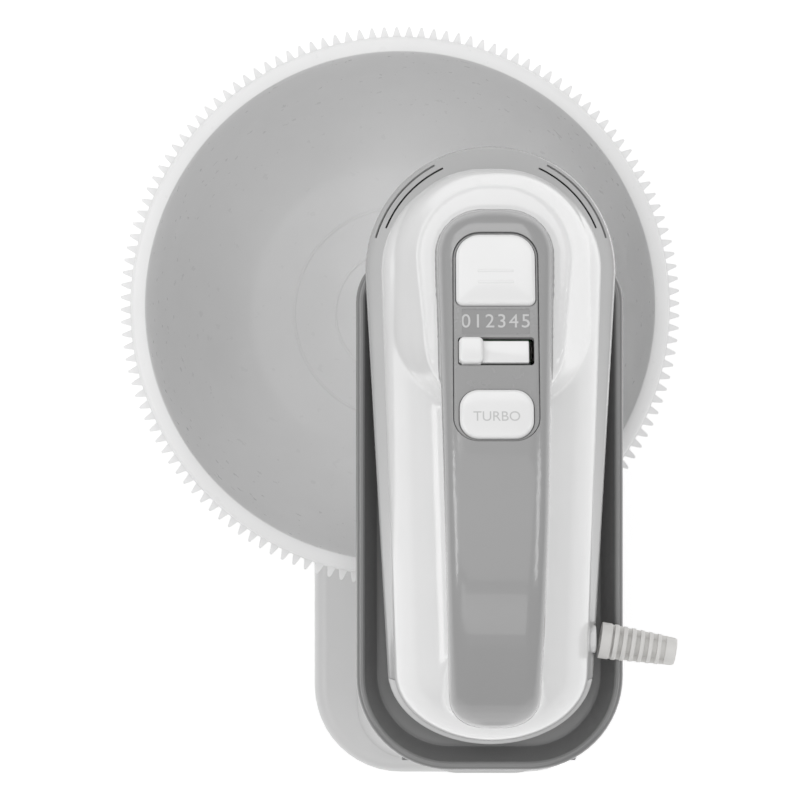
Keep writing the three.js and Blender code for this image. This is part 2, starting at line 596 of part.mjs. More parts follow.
function armGroup() {
  const arm = new THREE.Group();
  arm.add(node('cradle_tray', tray(), DARK_GREY_GLOSS));
  arm.add(node('cradle_cover', armCover(), DARK_GREY_GLOSS));
  arm.add(node('bowl_pinion', pinion(), NYLON, [PINION_X, PINION_Y, 0]));
  const bushAt = { pinion_bush_lower: ARM_BOTTOM, pinion_bush_upper: TRAY_FLOOR - ARM_WALL };
  for (const [name, z] of Object.entries(bushAt)) {
    const bush = ring(PINION_SHAFT_R + RUNNING, PINION_SHAFT_R + 2, 0, 3);
    arm.add(node(name, bush, BRONZE, [PINION_X, PINION_Y, z]));
  }
  return arm;
}

// ---------------------------------------------------------------- mixer housing
// Plan outline at one height: a half-round nose about the origin and a half-oval tail.
function bodySection(inset, z, noseIn = inset, tailIn = inset) {
  const noseHalf = NOSE_HALF - inset;
  const noseLength = NOSE_HALF - noseIn;
  const tailHalf = TAIL_HALF - tailIn;
  const tailLength = TAIL_LENGTH - tailIn;
  const points = [];
  for (let i = 0; i <= 12; i++) {
    const a = Math.PI * i / 12;
    points.push(new THREE.Vector3(noseHalf * Math.cos(a), noseLength * Math.sin(a), z));
  }
  for (let i = 0; i <= 8; i++) {
    const a = Math.PI * (1 + i / 8);
    points.push(new THREE.Vector3(tailHalf * Math.cos(a), TAIL_Y + tailLength * Math.sin(a), z));
  }
  return points;
}
const LOWER_ROWS = [[0, 9], [2.5, 4.5], [8, 1.6], [16, 0.3], [BELT_Z, 0], [BELT_Z + 4, 1]];
function lowerBody(wall, topUp) {
  const rows = LOWER_ROWS.filter(([z]) => !wall || z > wall);
  const sections = rows.map(([z, inset]) => bodySection(inset + wall, z));
  if (wall) sections.unshift(bodySection(LOWER_ROWS[1][1] + wall + 2, wall));
  const edge = SHOULDER_IN;
  sections.push(bodySection(edge.side + wall, SHOULDER_Z + topUp, edge.nose + wall, edge.tail + wall));
  return solidOf(new LoftGeometry(sections, CAPPED));
}
function upperBody(wall, bottomDown) {
  const edge = SHOULDER_IN;
  const steps = 4;
  const height = BODY_TOP - wall - SHOULDER_Z;
  const sections = [];
  for (let i = 0; i <= steps; i++) {
    const t = Math.sin(i / steps * Math.PI / 2);
    const round = BODY_TOP_IN * (1 - Math.cos(i / steps * Math.PI / 2)) + wall;
    const z = SHOULDER_Z + height * t - (i === 0 ? bottomDown : 0);
    sections.push(bodySection(edge.side + round, z, edge.nose + round, edge.tail + round));
  }
  return solidOf(new LoftGeometry(sections, CAPPED));
}
// The dome between the body and the control panel.
function neck(wall, low, high) {
  const rows = [
    // height, half width, front, rear
    [40, NOSE_HALF - 8.7, NOSE_HALF - 9.7, -58],
    [55, NOSE_HALF - 12.2, NOSE_HALF - 12.7, -57],
    [70, NOSE_HALF - 17.2, NOSE_HALF - 18.7, -55],
    [84, 27, 24.5, -54],
    [98, 23.5, 22, -54],
    [112, 22, 21, -56],
  ];
  const sections = rows.filter(([z]) => z > low && z < high)
    .map(([z, half, front, rear]) => roundSection(half - wall, front - wall, rear + wall, z, 0.46, 4));
  return solidOf(new LoftGeometry(sections, CAPPED));
}
// Height of the handle's top line over y: the tilted panel, then a curve over the grip, down to the tail.
function handleTop(y) {
  const panelEnd = PANEL_Y - PANEL_LENGTH / 2 * Math.cos(PANEL_TILT) - 2;
  const slope = Math.tan(PANEL_TILT);
  if (y > panelEnd) return PANEL_Z + PANEL_THICK * 0.4 - (y - PANEL_Y) * slope;
  const t = (panelEnd - y) / (panelEnd - HANDLE_REAR);
  const start = PANEL_Z + PANEL_THICK * 0.4 - (panelEnd - PANEL_Y) * slope;
  return start + slope * (panelEnd - y) - HANDLE_DROP * t * t;
}
// Side view of the dome, grip and rear pillar, with the finger opening as a hole.
function handleSide(inset) {
  const shape = new THREE.Shape();
  const front = HANDLE_FRONT - inset;
  const rear = HANDLE_REAR + inset;
  shape.moveTo(front, 44);
  const steps = 12;
  for (let i = 0; i <= steps; i++) {
    const y = front + (rear - front) * i / steps;
    const endDrop = 7 * Math.max(0, (i - steps + 1)) + 4 * (i === 0 ? 1 : 0);
    shape.lineTo(y, handleTop(y) - inset - endDrop);
  }
  shape.lineTo(rear + 2, 44);
  const hole = new THREE.Path();
  const top = (y) => handleTop(y) - GRIP_THICK + inset;
  const low = BODY_TOP - 4 - inset;
  hole.moveTo(GAP_FRONT + inset - 6, low);
  hole.lineTo(GAP_REAR - inset + 8, low);
  hole.quadraticCurveTo(GAP_REAR - inset, low, GAP_REAR - inset, low + 9);
  hole.quadraticCurveTo(GAP_REAR - inset, top(GAP_REAR + 10), GAP_REAR + 14, top(GAP_REAR + 14));
  hole.lineTo(-100, top(-100));
  hole.lineTo(GAP_FRONT - 18, top(GAP_FRONT - 18));
  hole.quadraticCurveTo(GAP_FRONT + inset, top(GAP_FRONT - 8), GAP_FRONT + inset, low + 12);
  hole.lineTo(GAP_FRONT + inset - 6, low);
  shape.holes.push(hole);
  return shape;
}
function handlePlan(inset) {
  const shape = new THREE.Shape();
  const front = HANDLE_HALF_FRONT - inset;
  const rear = HANDLE_HALF_REAR - inset;
  const frontR = 17 - inset;
  const rearR = 12 - inset;
  shape.moveTo(front, HANDLE_FRONT - inset - frontR);
  shape.absarc(front - frontR, HANDLE_FRONT - inset - frontR, frontR, 0, Math.PI / 2, false);
  shape.absarc(frontR - front, HANDLE_FRONT - inset - frontR, frontR, Math.PI / 2, Math.PI, false);
  shape.absarc(rearR - rear, HANDLE_REAR + inset + rearR, rearR, Math.PI, Math.PI * 1.5, false);
  shape.absarc(rear - rearR, HANDLE_REAR + inset + rearR, rearR, -Math.PI / 2, 0, false);
  return shape;
}
function handle(inset) {
  const half = HANDLE_HALF_FRONT - inset;
  const side = solidOf(slab(handleSide(inset), -half, half, { bevel: HANDLE_BEVEL - inset, segments: 3 }));
  return side.intersect(plate(handlePlan(inset), 40, 140, { segments: 4 }));
}
// Everything over the line where the grey handle cover meets the white grip, grown downwards by more.
function overSplit(more) {
  const shape = new THREE.Shape();
  const front = HANDLE_FRONT + 9;
  const rear = HANDLE_REAR - 9;
  shape.moveTo(front, 180);
  for (let i = 0; i <= 10; i++) {
    const y = front + (rear - front) * i / 10;
    shape.lineTo(y, handleTop(y) - HANDLE_COVER_DEEP - more);
  }
  shape.lineTo(rear, 180);
  return solidOf(slab(shape, -60, 60));
}
function aheadOf(y) {
  return block([-99, y, -99], [99, 199, 199]);
}
function panelFrame() {
  const frame = new THREE.Group();
  frame.position.set(0, PANEL_Y, PANEL_Z);
  frame.rotation.x = -PANEL_TILT;
  frame.updateMatrix();
  return frame;
}
// A plate drawn in the panel's own frame, as a solid in the mixer's frame.
function onPanel(geometry) {
  return solidOf(geometry.applyMatrix4(panelFrame().matrix));
}
function panelShape(grow) {
  const end = PANEL_LENGTH / 2 + grow;
  return roundedRect(-PANEL_HALF - grow, PANEL_HALF + grow, -end, end, 9 + grow, 10 + grow);
}
function upperHousing() {
  const capFront = TAIL_CAP_Y - GAP;
  const panelRoom = overSplit(GAP);
  const tailCap = cut(lowerBody(0, 1), aheadOf(capFront));
  const tailRoom = cut(lowerBody(HOUSING_WALL, 3), aheadOf(capFront + 1));
  const upper = upperBody(0, 0).translate([0, 0, GAP]);
  const grip = cut(handle(0), panelRoom);
  const dome = cut(neck(0, 30, 120), panelRoom);
  const inner = HOUSING_WALL;
  const neckRoom = cut(neck(inner, 45, 105), overSplit(GAP + inner));
  const hollow = add(upperBody(inner, 4), neckRoom, handle(inner));
  const outer = add(upper, grip, dome, tailCap);
  const posts = SCREW_PLACES.map(([x, y]) => cut(
    post(SCREW_POST_R, SHOULDER_Z - 3, BODY_TOP - 8, x, y, 8),
    post(SCREW_BORE_R, 0, BODY_TOP - 14, x, y, 8)));
  return cut(add(cut(outer, hollow, tailRoom), ...posts), cordBore());
}
function ventSlots() {
  const slots = [];
  for (const side of [-1, 1]) {
    for (const [r, from, to] of VENT_ARCS) {
      const shape = new THREE.Shape();
      const [a, b] = side > 0 ? [from * DEG, to * DEG] : [Math.PI - to * DEG, Math.PI - from * DEG];
      shape.absarc(0, 0, r + VENT_WIDTH / 2, a, b, false);
      shape.absarc(0, 0, r - VENT_WIDTH / 2, b, a, true);
      slots.push(plate(shape, BELT_Z + 1, SHOULDER_Z + 5, { segments: 4 }));
    }
  }
  return slots;
}
function cordBore() {
  return bar(RELIEF_R - 1, 20, 99, CORD_Y, CORD_Z, 16);
}
function lowerHousing() {
  const outer = lowerBody(0, 0).intersect(aheadOf(TAIL_CAP_Y));
  const hollow = lowerBody(HOUSING_WALL, 1);
  const sockets = [-1, 1].map((side) => post(SOCKET_R, -11, 12, side * SPINDLE_X, 0));
  const bores = [-1, 1].map((side) => post(SOCKET_R - 2, -20, 20, side * SPINDLE_X, 0));
  const outputBore = post(DOG_R + 4, -5, 6, OUTPUT_X, OUTPUT_Y);
  const ribs = [-1, 1].map((end) => {
    const y = MOTOR_Y + end * (STATOR_LENGTH / 2 - 4);
    return block([-28, y - 1.5, 1], [28, y + 1.5, SHAFT_Z - STATOR_HALF - GAP]);
  });
  const posts = SCREW_PLACES.map(([x, y]) => post(SCREW_POST_R, 1, SHOULDER_Z - 3.5, x, y, 8));
  const screwBores = SCREW_PLACES.map(([x, y]) => add(
    post(SCREW_BORE_R, -5, 50, x, y, 8),
    post(SCREW_HEAD_R + GAP, -5, 4, x, y, 10)));
  const shell = add(cut(outer, hollow), ...sockets, ...ribs, ...posts);
  return cut(shell, ...bores, outputBore, ...screwBores, ...ventSlots(), cordBore());
}
function handleCover() {
  const shell = cut(handle(0), handle(HOUSING_WALL)).intersect(overSplit(0));
  const window = onPanel(plateGeometry(panelShape(GAP), -12, 12, { segments: 4 }));
  return cut(shell, window);
}
function controlPanel() {
  const base = plateGeometry(panelShape(0), -PANEL_THICK, 0, { segments: 4 });
  const slot = roundedRect(-SLOT.half, SLOT.half, SLOT.rear, SLOT.front, SLOT.corner, SLOT.corner);
  const windows = [
    plateGeometry(ejectorShape(BUTTON_CLEAR), -9, 9, { segments: 4 }),
    plateGeometry(slot, -9, 9, { segments: 2 }),
    plateGeometry(turboShape(BUTTON_CLEAR), -9, 9, { segments: 4 }),
  ];
  return cut(solidOf(base), ...windows.map(solidOf));
}
function ejectorShape(grow) {
  const half = EJECTOR.half + grow;
  return roundedRect(-half, half, EJECTOR.rear - grow, EJECTOR.front + grow, 2.5 + grow, 9 + grow);
}
function turboShape(grow) {
  const half = TURBO.half + grow;
  const corner = TURBO.corner + grow;
  return roundedRect(-half, half, TURBO.rear - grow, TURBO.front + grow, corner, corner);
}
function strainRelief() {
  const pitch = 3.9;
  const ringCount = 5;
  const length = RELIEF_LENGTH;
  const taper = (x) => RELIEF_R * (1 - 0.24 * x / length);
  const core = bar(4, 0, length, 0, 0, 10);
  const parts = [bar(RELIEF_R, 0, 4.6, 0, 0, 10)];
  for (let i = 0; i < ringCount; i++) {
    const x = 6 + i * pitch;
    parts.push(bar(taper(x), x, x + 2, 0, 0, 10));
  }
  parts.push(bar(taper(length - 3), length - 4.2, length, 0, 0, 10));
  parts.push(block([1, -1.6, -taper(length)], [length - 1, 1.6, taper(length)]));
  const bore = bar(3.1, -9, length + 9, 0, 0, 8);
  return cut(add(core, ...parts), bore);
}
function housingGroup() {
  const housing = new THREE.Group();
  housing.add(node('upper_housing', upperHousing(), WHITE_GLOSS));
  housing.add(node('lower_housing', lowerHousing(), MID_GREY_GLOSS));
  housing.add(node('handle_cover', handleCover(), HANDLE_GREY));
  SCREW_PLACES.forEach(([x, y], i) => {
    const screw = add(post(SCREW_HEAD_R, 0.8, 3.6, 0, 0, 10), post(SCREW_BORE_R - GAP, 3.4, 42, 0, 0, 8));
    housing.add(node(`housing_screw_${i + 1}`, screw, STEEL, [x, y, 0]));
  });
  const reliefX = bodyHalfAt(CORD_Y) - 1.5;
  const collar = cut(bar(RELIEF_R - 1.4, -4, 1.6, 0, 0, 12), bar(3.2, -9, 9, 0, 0, 8));
  housing.add(node('cord_collar', collar, WHITE_GLOSS, [reliefX, CORD_Y, CORD_Z]));
  const relief = node('strain_relief', strainRelief(), LIGHT_GREY, [reliefX + 1.9, CORD_Y, CORD_Z]);
  relief.rotation.z = -RELIEF_DROOP;
  relief.position.x += RELIEF_R * Math.sin(RELIEF_DROOP) + GAP;
  housing.add(relief);
  return housing;
}
function bodyHalfAt(y) {
  return NOSE_HALF + (TAIL_HALF - NOSE_HALF) * y / TAIL_Y;
}

// ---------------------------------------------------------------- controls on the panel
function controlsGroup() {
  const frame = panelFrame();
  frame.add(node('control_panel', controlPanel(), HANDLE_GREY));
  const cap = plate(ejectorShape(0), -PANEL_THICK - 4.5, 2.2, { bevel: 1.4, segments: 4 });
  const stem = post(3, EJECTOR_STEM_LOW, -PANEL_THICK - 4, 0, EJECTOR_STEM_V, 12);
  frame.add(node('ejector_button', add(cap, stem), WHITE_GLOSS));
  const turbo = plate(turboShape(0), -PANEL_THICK - 3, 2, { bevel: 1.4, segments: 4 });
  frame.add(node('turbo_button', turbo, WHITE_GLOSS));
  const middle = (SLOT.front + SLOT.rear) / 2;
  const wide = (SLOT.front - SLOT.rear) / 2;
  const trackHalf = wide - 1.3;
  const track = blockGeometry(
    [-SLOT.half + GAP, middle - trackHalf, -PANEL_THICK],
    [SLOT.half - GAP, middle + trackHalf, -0.5]);
  frame.add(node('slider_track', track, WHITE_GLOSS));
  const knobLeft = -SLOT.half + 0.4;
  const knob = roundedRect(knobLeft, knobLeft + KNOB_WIDTH, middle - wide + 0.4, middle + wide - 0.4, 2, 2);
  const crown = plate(knob, -0.1, 2.4, { bevel: 1, segments: 3 });
  const legs = [-1, 1].map((side) => {
    const inner = middle + side * (trackHalf + GAP);
    const outer = middle + side * (wide - 0.4);
    return block(
      [knobLeft + 1, Math.min(inner, outer), -PANEL_THICK - 3],
      [knobLeft + KNOB_WIDTH - 1.4, Math.max(inner, outer), 0.2]);
  });
  frame.add(node('speed_slider', add(crown, ...legs), WHITE_GLOSS));
  const board = blockGeometry([-13, -40, BOARD_Z - 1.6], [13, 4, BOARD_Z]);
  frame.add(node('circuit_board', board, GREEN_BOARD));
  const speedSwitch = blockGeometry(
    [-12.5, SLOT.rear + 0.5, BOARD_Z + GAP],
    [12.5, SLOT.front - 0.5, -PANEL_THICK - 3 - GAP]);
  frame.add(node('speed_switch', speedSwitch, CARBON));
  const turboSwitch = blockGeometry([-5, -34, BOARD_Z + GAP], [5, -26, -PANEL_THICK - 3 - 2.5 - 2 * GAP]);
  frame.add(node('turbo_switch', turboSwitch, CARBON));
  return frame;
}

// ---------------------------------------------------------------- motor and gears
function motorShaft() {
  const shaft = rod(SHAFT_R, SHAFT_REAR, SHAFT_FRONT, 0, 0, 16);
  return add(shaft, wormThread(-6.5, 6.5, 0), wormThread(OUTPUT_Y - 6.5, OUTPUT_Y + 6.5, OUTPUT_Y));
}
function fan() {
  const blades = 9;
  const hub = rod(8, -2, 6, 0, 0, 18);
  const disc = rod(21, -2, -0.6, 0, 0, 24);
  const vanes = Array.from({ length: blades }, (_, i) => solidOf(
    blockGeometry([6, -1.2, -0.7], [20.5, 6, 0.7]).rotateY(i / blades * 2 * Math.PI)));
  return cut(add(hub, disc, ...vanes), rod(SHAFT_R + RUNNING, -9, 9, 0, 0, 16));
}
function stator() {
  const outline = roundedRect(-STATOR_HALF, STATOR_HALF, -STATOR_HALF, STATOR_HALF, 8, 8);
  outline.holes.push(new THREE.Path().absarc(0, 0, ARMATURE_R + 0.7, 0, 2 * Math.PI, true));
  const half = STATOR_LENGTH / 2;
  return plateGeometry(outline, -half, half, { segments: 8 }).rotateX(Math.PI / 2);
}
function alongY(geometry) {
  return geometry.rotateX(-Math.PI / 2);
}
function spindle(top, bottom, boreDeep, boreR) {
  const body = add(post(SPINDLE_R, bottom, top - 5), post(3.4, top - 6, top, 0, 0, 16));
  return cut(body, post(boreR, bottom - 9, boreDeep, 0, 0, 16));
}
function gearboxFrame() {
  const low = HOUSING_WALL + GAP;
  const front = SHAFT_FRONT - 2;
  const side = [
    [-22, low], [-19, low], [-19, 41], [front - 3, 41],
    [front - 3, low], [front, low], [front, 44], [-22, 44],
  ];
  const shape = new THREE.Shape(side.map(([y, z]) => new THREE.Vector2(y, z)));
  const channel = solidOf(slab(shape, -38, 38));
  const plan = new THREE.Shape(bodySection(14.5, 0).map((p) => new THREE.Vector2(p.x, p.y)));
  const bores = [-1, 1].map((side) => post(3.4 + RUNNING, 38, 60, side * SPINDLE_X, 0, 16));
  const shaftBore = rod(BEARING_R + GAP, -30, 40, 0, SHAFT_Z);
  const room = SCREW_POST_R + 0.6;
  const slots = [-1, 1].map((side) => {
    const x = side * SCREW_X;
    return block([x - room, -36, -5], [x + room, -24.8, 60]);
  });
  return cut(channel.intersect(plate(plan, -5, 60)), ...bores, shaftBore, ...slots);
}
function rearBracket() {
  const low = HOUSING_WALL + GAP;
  const side = [[-154, low], [-151, low], [-151, 45], [-116, 45], [-116, 48], [-154, 48]];
  const shape = new THREE.Shape(side.map(([y, z]) => new THREE.Vector2(y, z)));
  const bent = solidOf(slab(shape, -28, 10));
  const plan = new THREE.Shape(bodySection(10, 0).map((p) => new THREE.Vector2(p.x, p.y)));
  const outputBore = post(3.4 + RUNNING, 40, 60, OUTPUT_X, OUTPUT_Y, 16);
  const shaftBore = rod(BEARING_R + GAP, -160, -140, 0, SHAFT_Z);
  return cut(bent.intersect(plate(plan, -5, 60)), outputBore, shaftBore);
}
function motorGroup() {
  const motor = new THREE.Group();
  motor.position.z = SHAFT_Z;
  motor.add(node('motor_shaft', motorShaft(), STEEL));
  const onShaft = SHAFT_R + RUNNING;
  const halfCore = STATOR_LENGTH / 2;
  const core = alongY(ring(onShaft, ARMATURE_R, -halfCore, halfCore, 20));
  motor.add(node('armature_core', core, LAMINATION, [0, MOTOR_Y, 0]));
  const bulge = [
    [onShaft, 0], [ARMATURE_R - 2, 0], [ARMATURE_R - 2.4, 5],
    [ARMATURE_R - 6, 8], [onShaft, 8], [onShaft, 0],
  ];
  const front = alongY(lathe(bulge, 16));
  motor.add(node('armature_winding_front', front, COPPER, [0, MOTOR_Y + halfCore + GAP, 0]));
  const rear = alongY(lathe(bulge, 16)).rotateZ(Math.PI);
  motor.add(node('armature_winding_rear', rear, COPPER, [0, MOTOR_Y - halfCore - GAP, 0]));
  motor.add(node('commutator', alongY(ring(onShaft, 8.5, -6, 6, 16)), COPPER, [0, COMMUTATOR_Y, 0]));
  motor.add(node('cooling_fan', fan(), NYLON, [0, FAN_Y, 0]));
  return motor;
}
function driveGroup() {
  const drive = new THREE.Group();
  drive.add(motorGroup());
  drive.add(node('stator', stator(), LAMINATION, [0, MOTOR_Y, SHAFT_Z]));
  const bearings = [
    ['front_bearing', SHAFT_FRONT - 3.5],
    ['middle_bearing', -20.5],
    ['rear_bearing', -152.5],
  ];
  for (const [name, y] of bearings) {
    const bearing = alongY(ring(SHAFT_R + RUNNING, BEARING_R, -1.5, 1.5, 12));
    drive.add(node(name, bearing, BRONZE, [0, y, SHAFT_Z]));
  }
  for (const [name, side] of [['brush_left', -1], ['brush_right', 1]]) {
    const near = 8.5 + GAP;
    const span = [near, near + 14].map((x) => side * x).sort((a, b) => a - b);
    const brush = blockGeometry([span[0], -3, -2.5], [span[1], 3, 2.5]);
    drive.add(node(name, brush, CARBON, [0, COMMUTATOR_Y, SHAFT_Z]));
  }
  drive.add(node('gearbox_frame', gearboxFrame(), LAMINATION));
  drive.add(node('rear_bracket', rearBracket(), LAMINATION));
  for (const [name, side] of [['left', -1], ['right', 1]]) {
    const phase = side > 0 ? Math.PI + Math.PI / WHEEL_TEETH : 0;
    const x = side * SPINDLE_X;
    const wheel = wormWheel(WHEEL_TEETH, phase, SPINDLE_R + RUNNING);
    drive.add(node(`worm_wheel_${name}`, wheel, NYLON, [x, 0, SHAFT_Z]));
    drive.add(node(`spindle_${name}`, spindle(45.5, -9, 60, BEATER_SHAFT_R + RUNNING), STEEL, [x, 0, 0]));
    const bush = ring(SPINDLE_R + RUNNING, SOCKET_R - 2 - GAP, -9, 11);
    drive.add(node(`spindle_bush_${name}`, bush, BRONZE, [x, 0, 0]));
    drive.add(node(`beater_${name}`, beater(side > 0 ? 45 * DEG : 0), STEEL, [x, 0, 0]));
  }
  const outputWheel = wormWheel(OUTPUT_TEETH, 0, SPINDLE_R + RUNNING);
  drive.add(node('output_wheel', outputWheel, NYLON, [OUTPUT_X, OUTPUT_Y, SHAFT_Z]));
  const output = cut(spindle(47.5, 1.5, 1, 1), post(DOG_R + 0.25, -5, DOG_HEIGHT + 1, 0, 0, 6));
  drive.add(node('output_spindle', output, STEEL, [OUTPUT_X, OUTPUT_Y, 0]));
  const arms = add(
    block([-SPINDLE_X - 4, -4, 54], [SPINDLE_X + 4, 4, 57]),
    block([-4, -14, 54], [4, 0, 57]),
    block([-4, -14, 56], [4, -5, YOKE_TOP]),
    ...[-1, 1].map((side) => post(2, BEATER_TOP + 1, 55, side * SPINDLE_X, 0, 12)));
  drive.add(node('ejector_yoke', arms, NYLON));
  return drive;
}
// A whisk: its shaft and two flat loops that cross at the bottom.
function beater(phase) {
  const bottom = BOWL_FLOOR_Z + BEATER_BOTTOM_GAP - MIXER_Z;
  const bulge = new THREE.SplineCurve([
    [2, bottom + 72], [10, bottom + 66], [BEATER_R - 3, bottom + 54], [BEATER_R, bottom + 38],
    [BEATER_R - 2.5, bottom + 18], [14, bottom + 5], [0, bottom + 0.7],
  ].map(([r, z]) => new THREE.Vector2(r, z)));
  const half = bulge.getPoints(9);
  const line = [...half, ...half.slice(0, -1).reverse().map((p) => new THREE.Vector2(-p.x, p.y))];
  const thick = 1.4;
  const wide = 5;
  const sections = line.map((p, i) => {
    const before = line[Math.max(0, i - 1)];
    const after = line[Math.min(line.length - 1, i + 1)];
    const normal = new THREE.Vector2(after.y - before.y, before.x - after.x).setLength(thick / 2);
    return [[1, 1], [-1, 1], [-1, -1], [1, -1]].map(([n, w]) => new THREE.Vector3(
      p.x + n * normal.x, w * wide / 2, p.y + n * normal.y));
  });
  const loop = () => new LoftGeometry(sections, CAPPED);
  const shaft = post(BEATER_SHAFT_R, bottom + 62, BEATER_TOP, 0, 0, 14);
  const collar = post(5.5, bottom + 66, bottom + 76, 0, 0, 16);
  return add(shaft, collar, solidOf(loop().rotateZ(phase)), solidOf(loop().rotateZ(phase + Math.PI / 2)));
}

// ---------------------------------------------------------------- assembly
function mixerGroup() {
  const mixer = new THREE.Group();
  mixer.position.set(MIXER_X, MIXER_Y, MIXER_Z);
  mixer.add(housingGroup(), controlsGroup(), driveGroup());
  return mixer;
}
const assembly = new THREE.Group();
assembly.add(standGroup(), bowlGroup(), armGroup(), mixerGroup());
const box = new THREE.Box3().setFromObject(assembly, true);
assembly.position.set(-(box.min.x + box.max.x) / 2, -(box.min.y + box.max.y) / 2, 0);

export default assembly;
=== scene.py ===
"""Builds the looks of a hand mixer docked on its bowl stand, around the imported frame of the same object.

Sizes in the property groups are millimetres or plain counts. Every mesh is made in metres, where it
belongs, on an object that stays at the origin. Shapes on the mixer are drawn about its own origin, between
its two spindles on its flat underside, with +Y towards the nose.
"""

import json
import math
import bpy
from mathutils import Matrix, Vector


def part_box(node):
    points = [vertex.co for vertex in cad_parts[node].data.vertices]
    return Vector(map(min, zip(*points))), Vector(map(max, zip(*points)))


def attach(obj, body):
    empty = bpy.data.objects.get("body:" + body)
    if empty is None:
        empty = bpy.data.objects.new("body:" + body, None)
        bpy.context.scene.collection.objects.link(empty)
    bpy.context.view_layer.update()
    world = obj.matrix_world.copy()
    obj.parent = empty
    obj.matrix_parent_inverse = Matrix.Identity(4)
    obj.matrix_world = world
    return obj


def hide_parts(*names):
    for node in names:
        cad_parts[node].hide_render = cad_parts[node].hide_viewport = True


bl_info = {
    "name": "Hand Mixer on a Bowl Stand",
    "version": (1, 0, 0),
    "blender": (4, 5, 0),
    "location": "View3D > Sidebar > Hand Mixer",
    "description": "Builds a hand mixer on its stand, with a geared bowl, around a packed frame",
    "category": "Add Mesh",
}

import bmesh
import bpy
from bpy.props import FloatProperty, FloatVectorProperty, IntProperty, PointerProperty
from mathutils import Matrix, Vector

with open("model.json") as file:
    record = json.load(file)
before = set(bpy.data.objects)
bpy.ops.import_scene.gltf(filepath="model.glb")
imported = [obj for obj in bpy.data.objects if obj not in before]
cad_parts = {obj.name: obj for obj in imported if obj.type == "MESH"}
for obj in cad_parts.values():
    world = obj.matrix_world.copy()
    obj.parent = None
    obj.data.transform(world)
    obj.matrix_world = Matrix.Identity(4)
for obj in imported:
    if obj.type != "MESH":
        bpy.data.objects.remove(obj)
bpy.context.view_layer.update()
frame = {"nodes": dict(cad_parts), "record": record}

MM = 0.001
GAP = 0.3  # between pieces that touch
PANEL_TILT = math.radians(18)
SHOULDER_Z = 34  # where the grey lower housing meets the white one
BODY_TOP = 65
TAIL_Y = -155
TAIL_LENGTH = 29
TAIL_CAP_Y = -158
HANDLE_FRONT = 21
HANDLE_REAR = -173
PANEL_Y = -26.5  # middle of the tilted panel, from the mixer's origin
PANEL_Z = 97
PANEL_LENGTH = 80.7
PANEL_THICK = 2.4
GRIP_THICK = 27
FINGERS_REAR = -143
CORD_Y = -142.8
CORD_Z = 25.7
CORD_HOLE_R = 6
GEAR_DROP = 4  # from the rim's top to the teeth's top
GEAR_HEIGHT = 8
TOOTH_PLAY = 0.45  # width given up round the teeth so that they mesh freely
TRAY_DEPTH = 13
SOCKET_R = 9
SOCKET_ROOM = 1.5  # round each spindle socket
CAMERA_PLACE = (0, 0.0065, 1.45)  # metres
CAMERA_LENS = 145.1
FLOOR_HALF = 9000


def low(node):
    return Vector(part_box(node)[0]) / MM


def high(node):
    return Vector(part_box(node)[1]) / MM


def middle(node):
    return (low(node) + high(node)) / 2


# Places, in millimetres, from the frame
MIXER = Vector((
    (middle("spindle_left").x + middle("spindle_right").x) / 2,
    middle("spindle_left").y,
    low("spindle_left").z + 9,
))
SPINDLE_X = (middle("spindle_right").x - middle("spindle_left").x) / 2
NOSE_HALF = high("lower_housing").y - MIXER.y
BOWL = Vector((middle("bowl").x, high("bowl").y - (high("bowl").x - low("bowl").x) / 2, 0))
RIM_Z = high("bowl").z
ARM_BOTTOM = low("cradle_cover").z
ARM_TOP = high("cradle_tray").z
TRAY_FLOOR = ARM_TOP - TRAY_DEPTH
GEAR_TOP = RIM_Z - GEAR_DROP
GEAR_LOW = GEAR_TOP - GEAR_HEIGHT
HINGE = middle("hinge_pin")


# ---------------------------------------------------------------- sizes and finishes a user may change
class HM_Sizes(bpy.types.PropertyGroup):
    """Sizes of the visible shells, in millimetres"""

    bowl_teeth: IntProperty(
        name="Bowl teeth", description="Teeth round the bowl's rim", default=140, min=60
    )
    gear_module: FloatProperty(
        name="Gear module", description="Tooth size of the rim gear", default=1.6, min=0.5
    )
    rim_width: FloatProperty(
        name="Rim width", description="Width of the bowl's plain lip", default=6.6, min=2.0
    )
    bowl_wall: FloatProperty(name="Bowl wall", description="Thickness of the bowl", default=2.6, min=1.0)
    shell_wall: FloatProperty(
        name="Shell wall", description="Thickness of the housings", default=2.2, min=1.0
    )
    tail_half: FloatProperty(
        name="Tail half width", description="Half width of the mixer's tail", default=40.0
    )
    handle_half_front: FloatProperty(
        name="Handle half, front", description="Half the handle's width", default=22.0
    )
    handle_half_rear: FloatProperty(
        name="Handle half, rear", description="Half the handle's width", default=16.8
    )
    cover_depth: FloatProperty(
        name="Cover depth", description="Depth of the grey cover on the grip", default=9.0
    )
    relief_ribs: IntProperty(
        name="Relief ribs", description="Ribs of the cord's strain relief", default=6, min=2
    )
    letter_height: FloatProperty(
        name="Letter height", description="Height of the numbers", default=5.4, min=1.0
    )


def colour_property(name, grey, warm=0.0):
    shade = (grey + warm, grey, grey - warm)
    return FloatVectorProperty(
        name=name, description="Colour of " + name.lower(), subtype="COLOR",
        size=3, min=0, max=1, default=shade,
    )


class HM_Colours(bpy.types.PropertyGroup):
    """Colours of the finishes"""

    white: colour_property("White plastic", 0.76)
    housing: colour_property("Lower housing", 0.36)
    handle: colour_property("Handle cover", 0.22)
    panel: colour_property("Control panel", 0.2)
    cradle: colour_property("Cradle", 0.11)
    stand: colour_property("Stand", 0.56)
    bowl: colour_property("Bowl", 0.82)
    ink: colour_property("Printed letters", 0.42)
    number: colour_property("Printed numbers", 0.48)
    nylon: colour_property("Nylon", 0.62, 0.03)


def sizes():
    return bpy.context.scene.hm_sizes


def colours():
    return bpy.context.scene.hm_colours


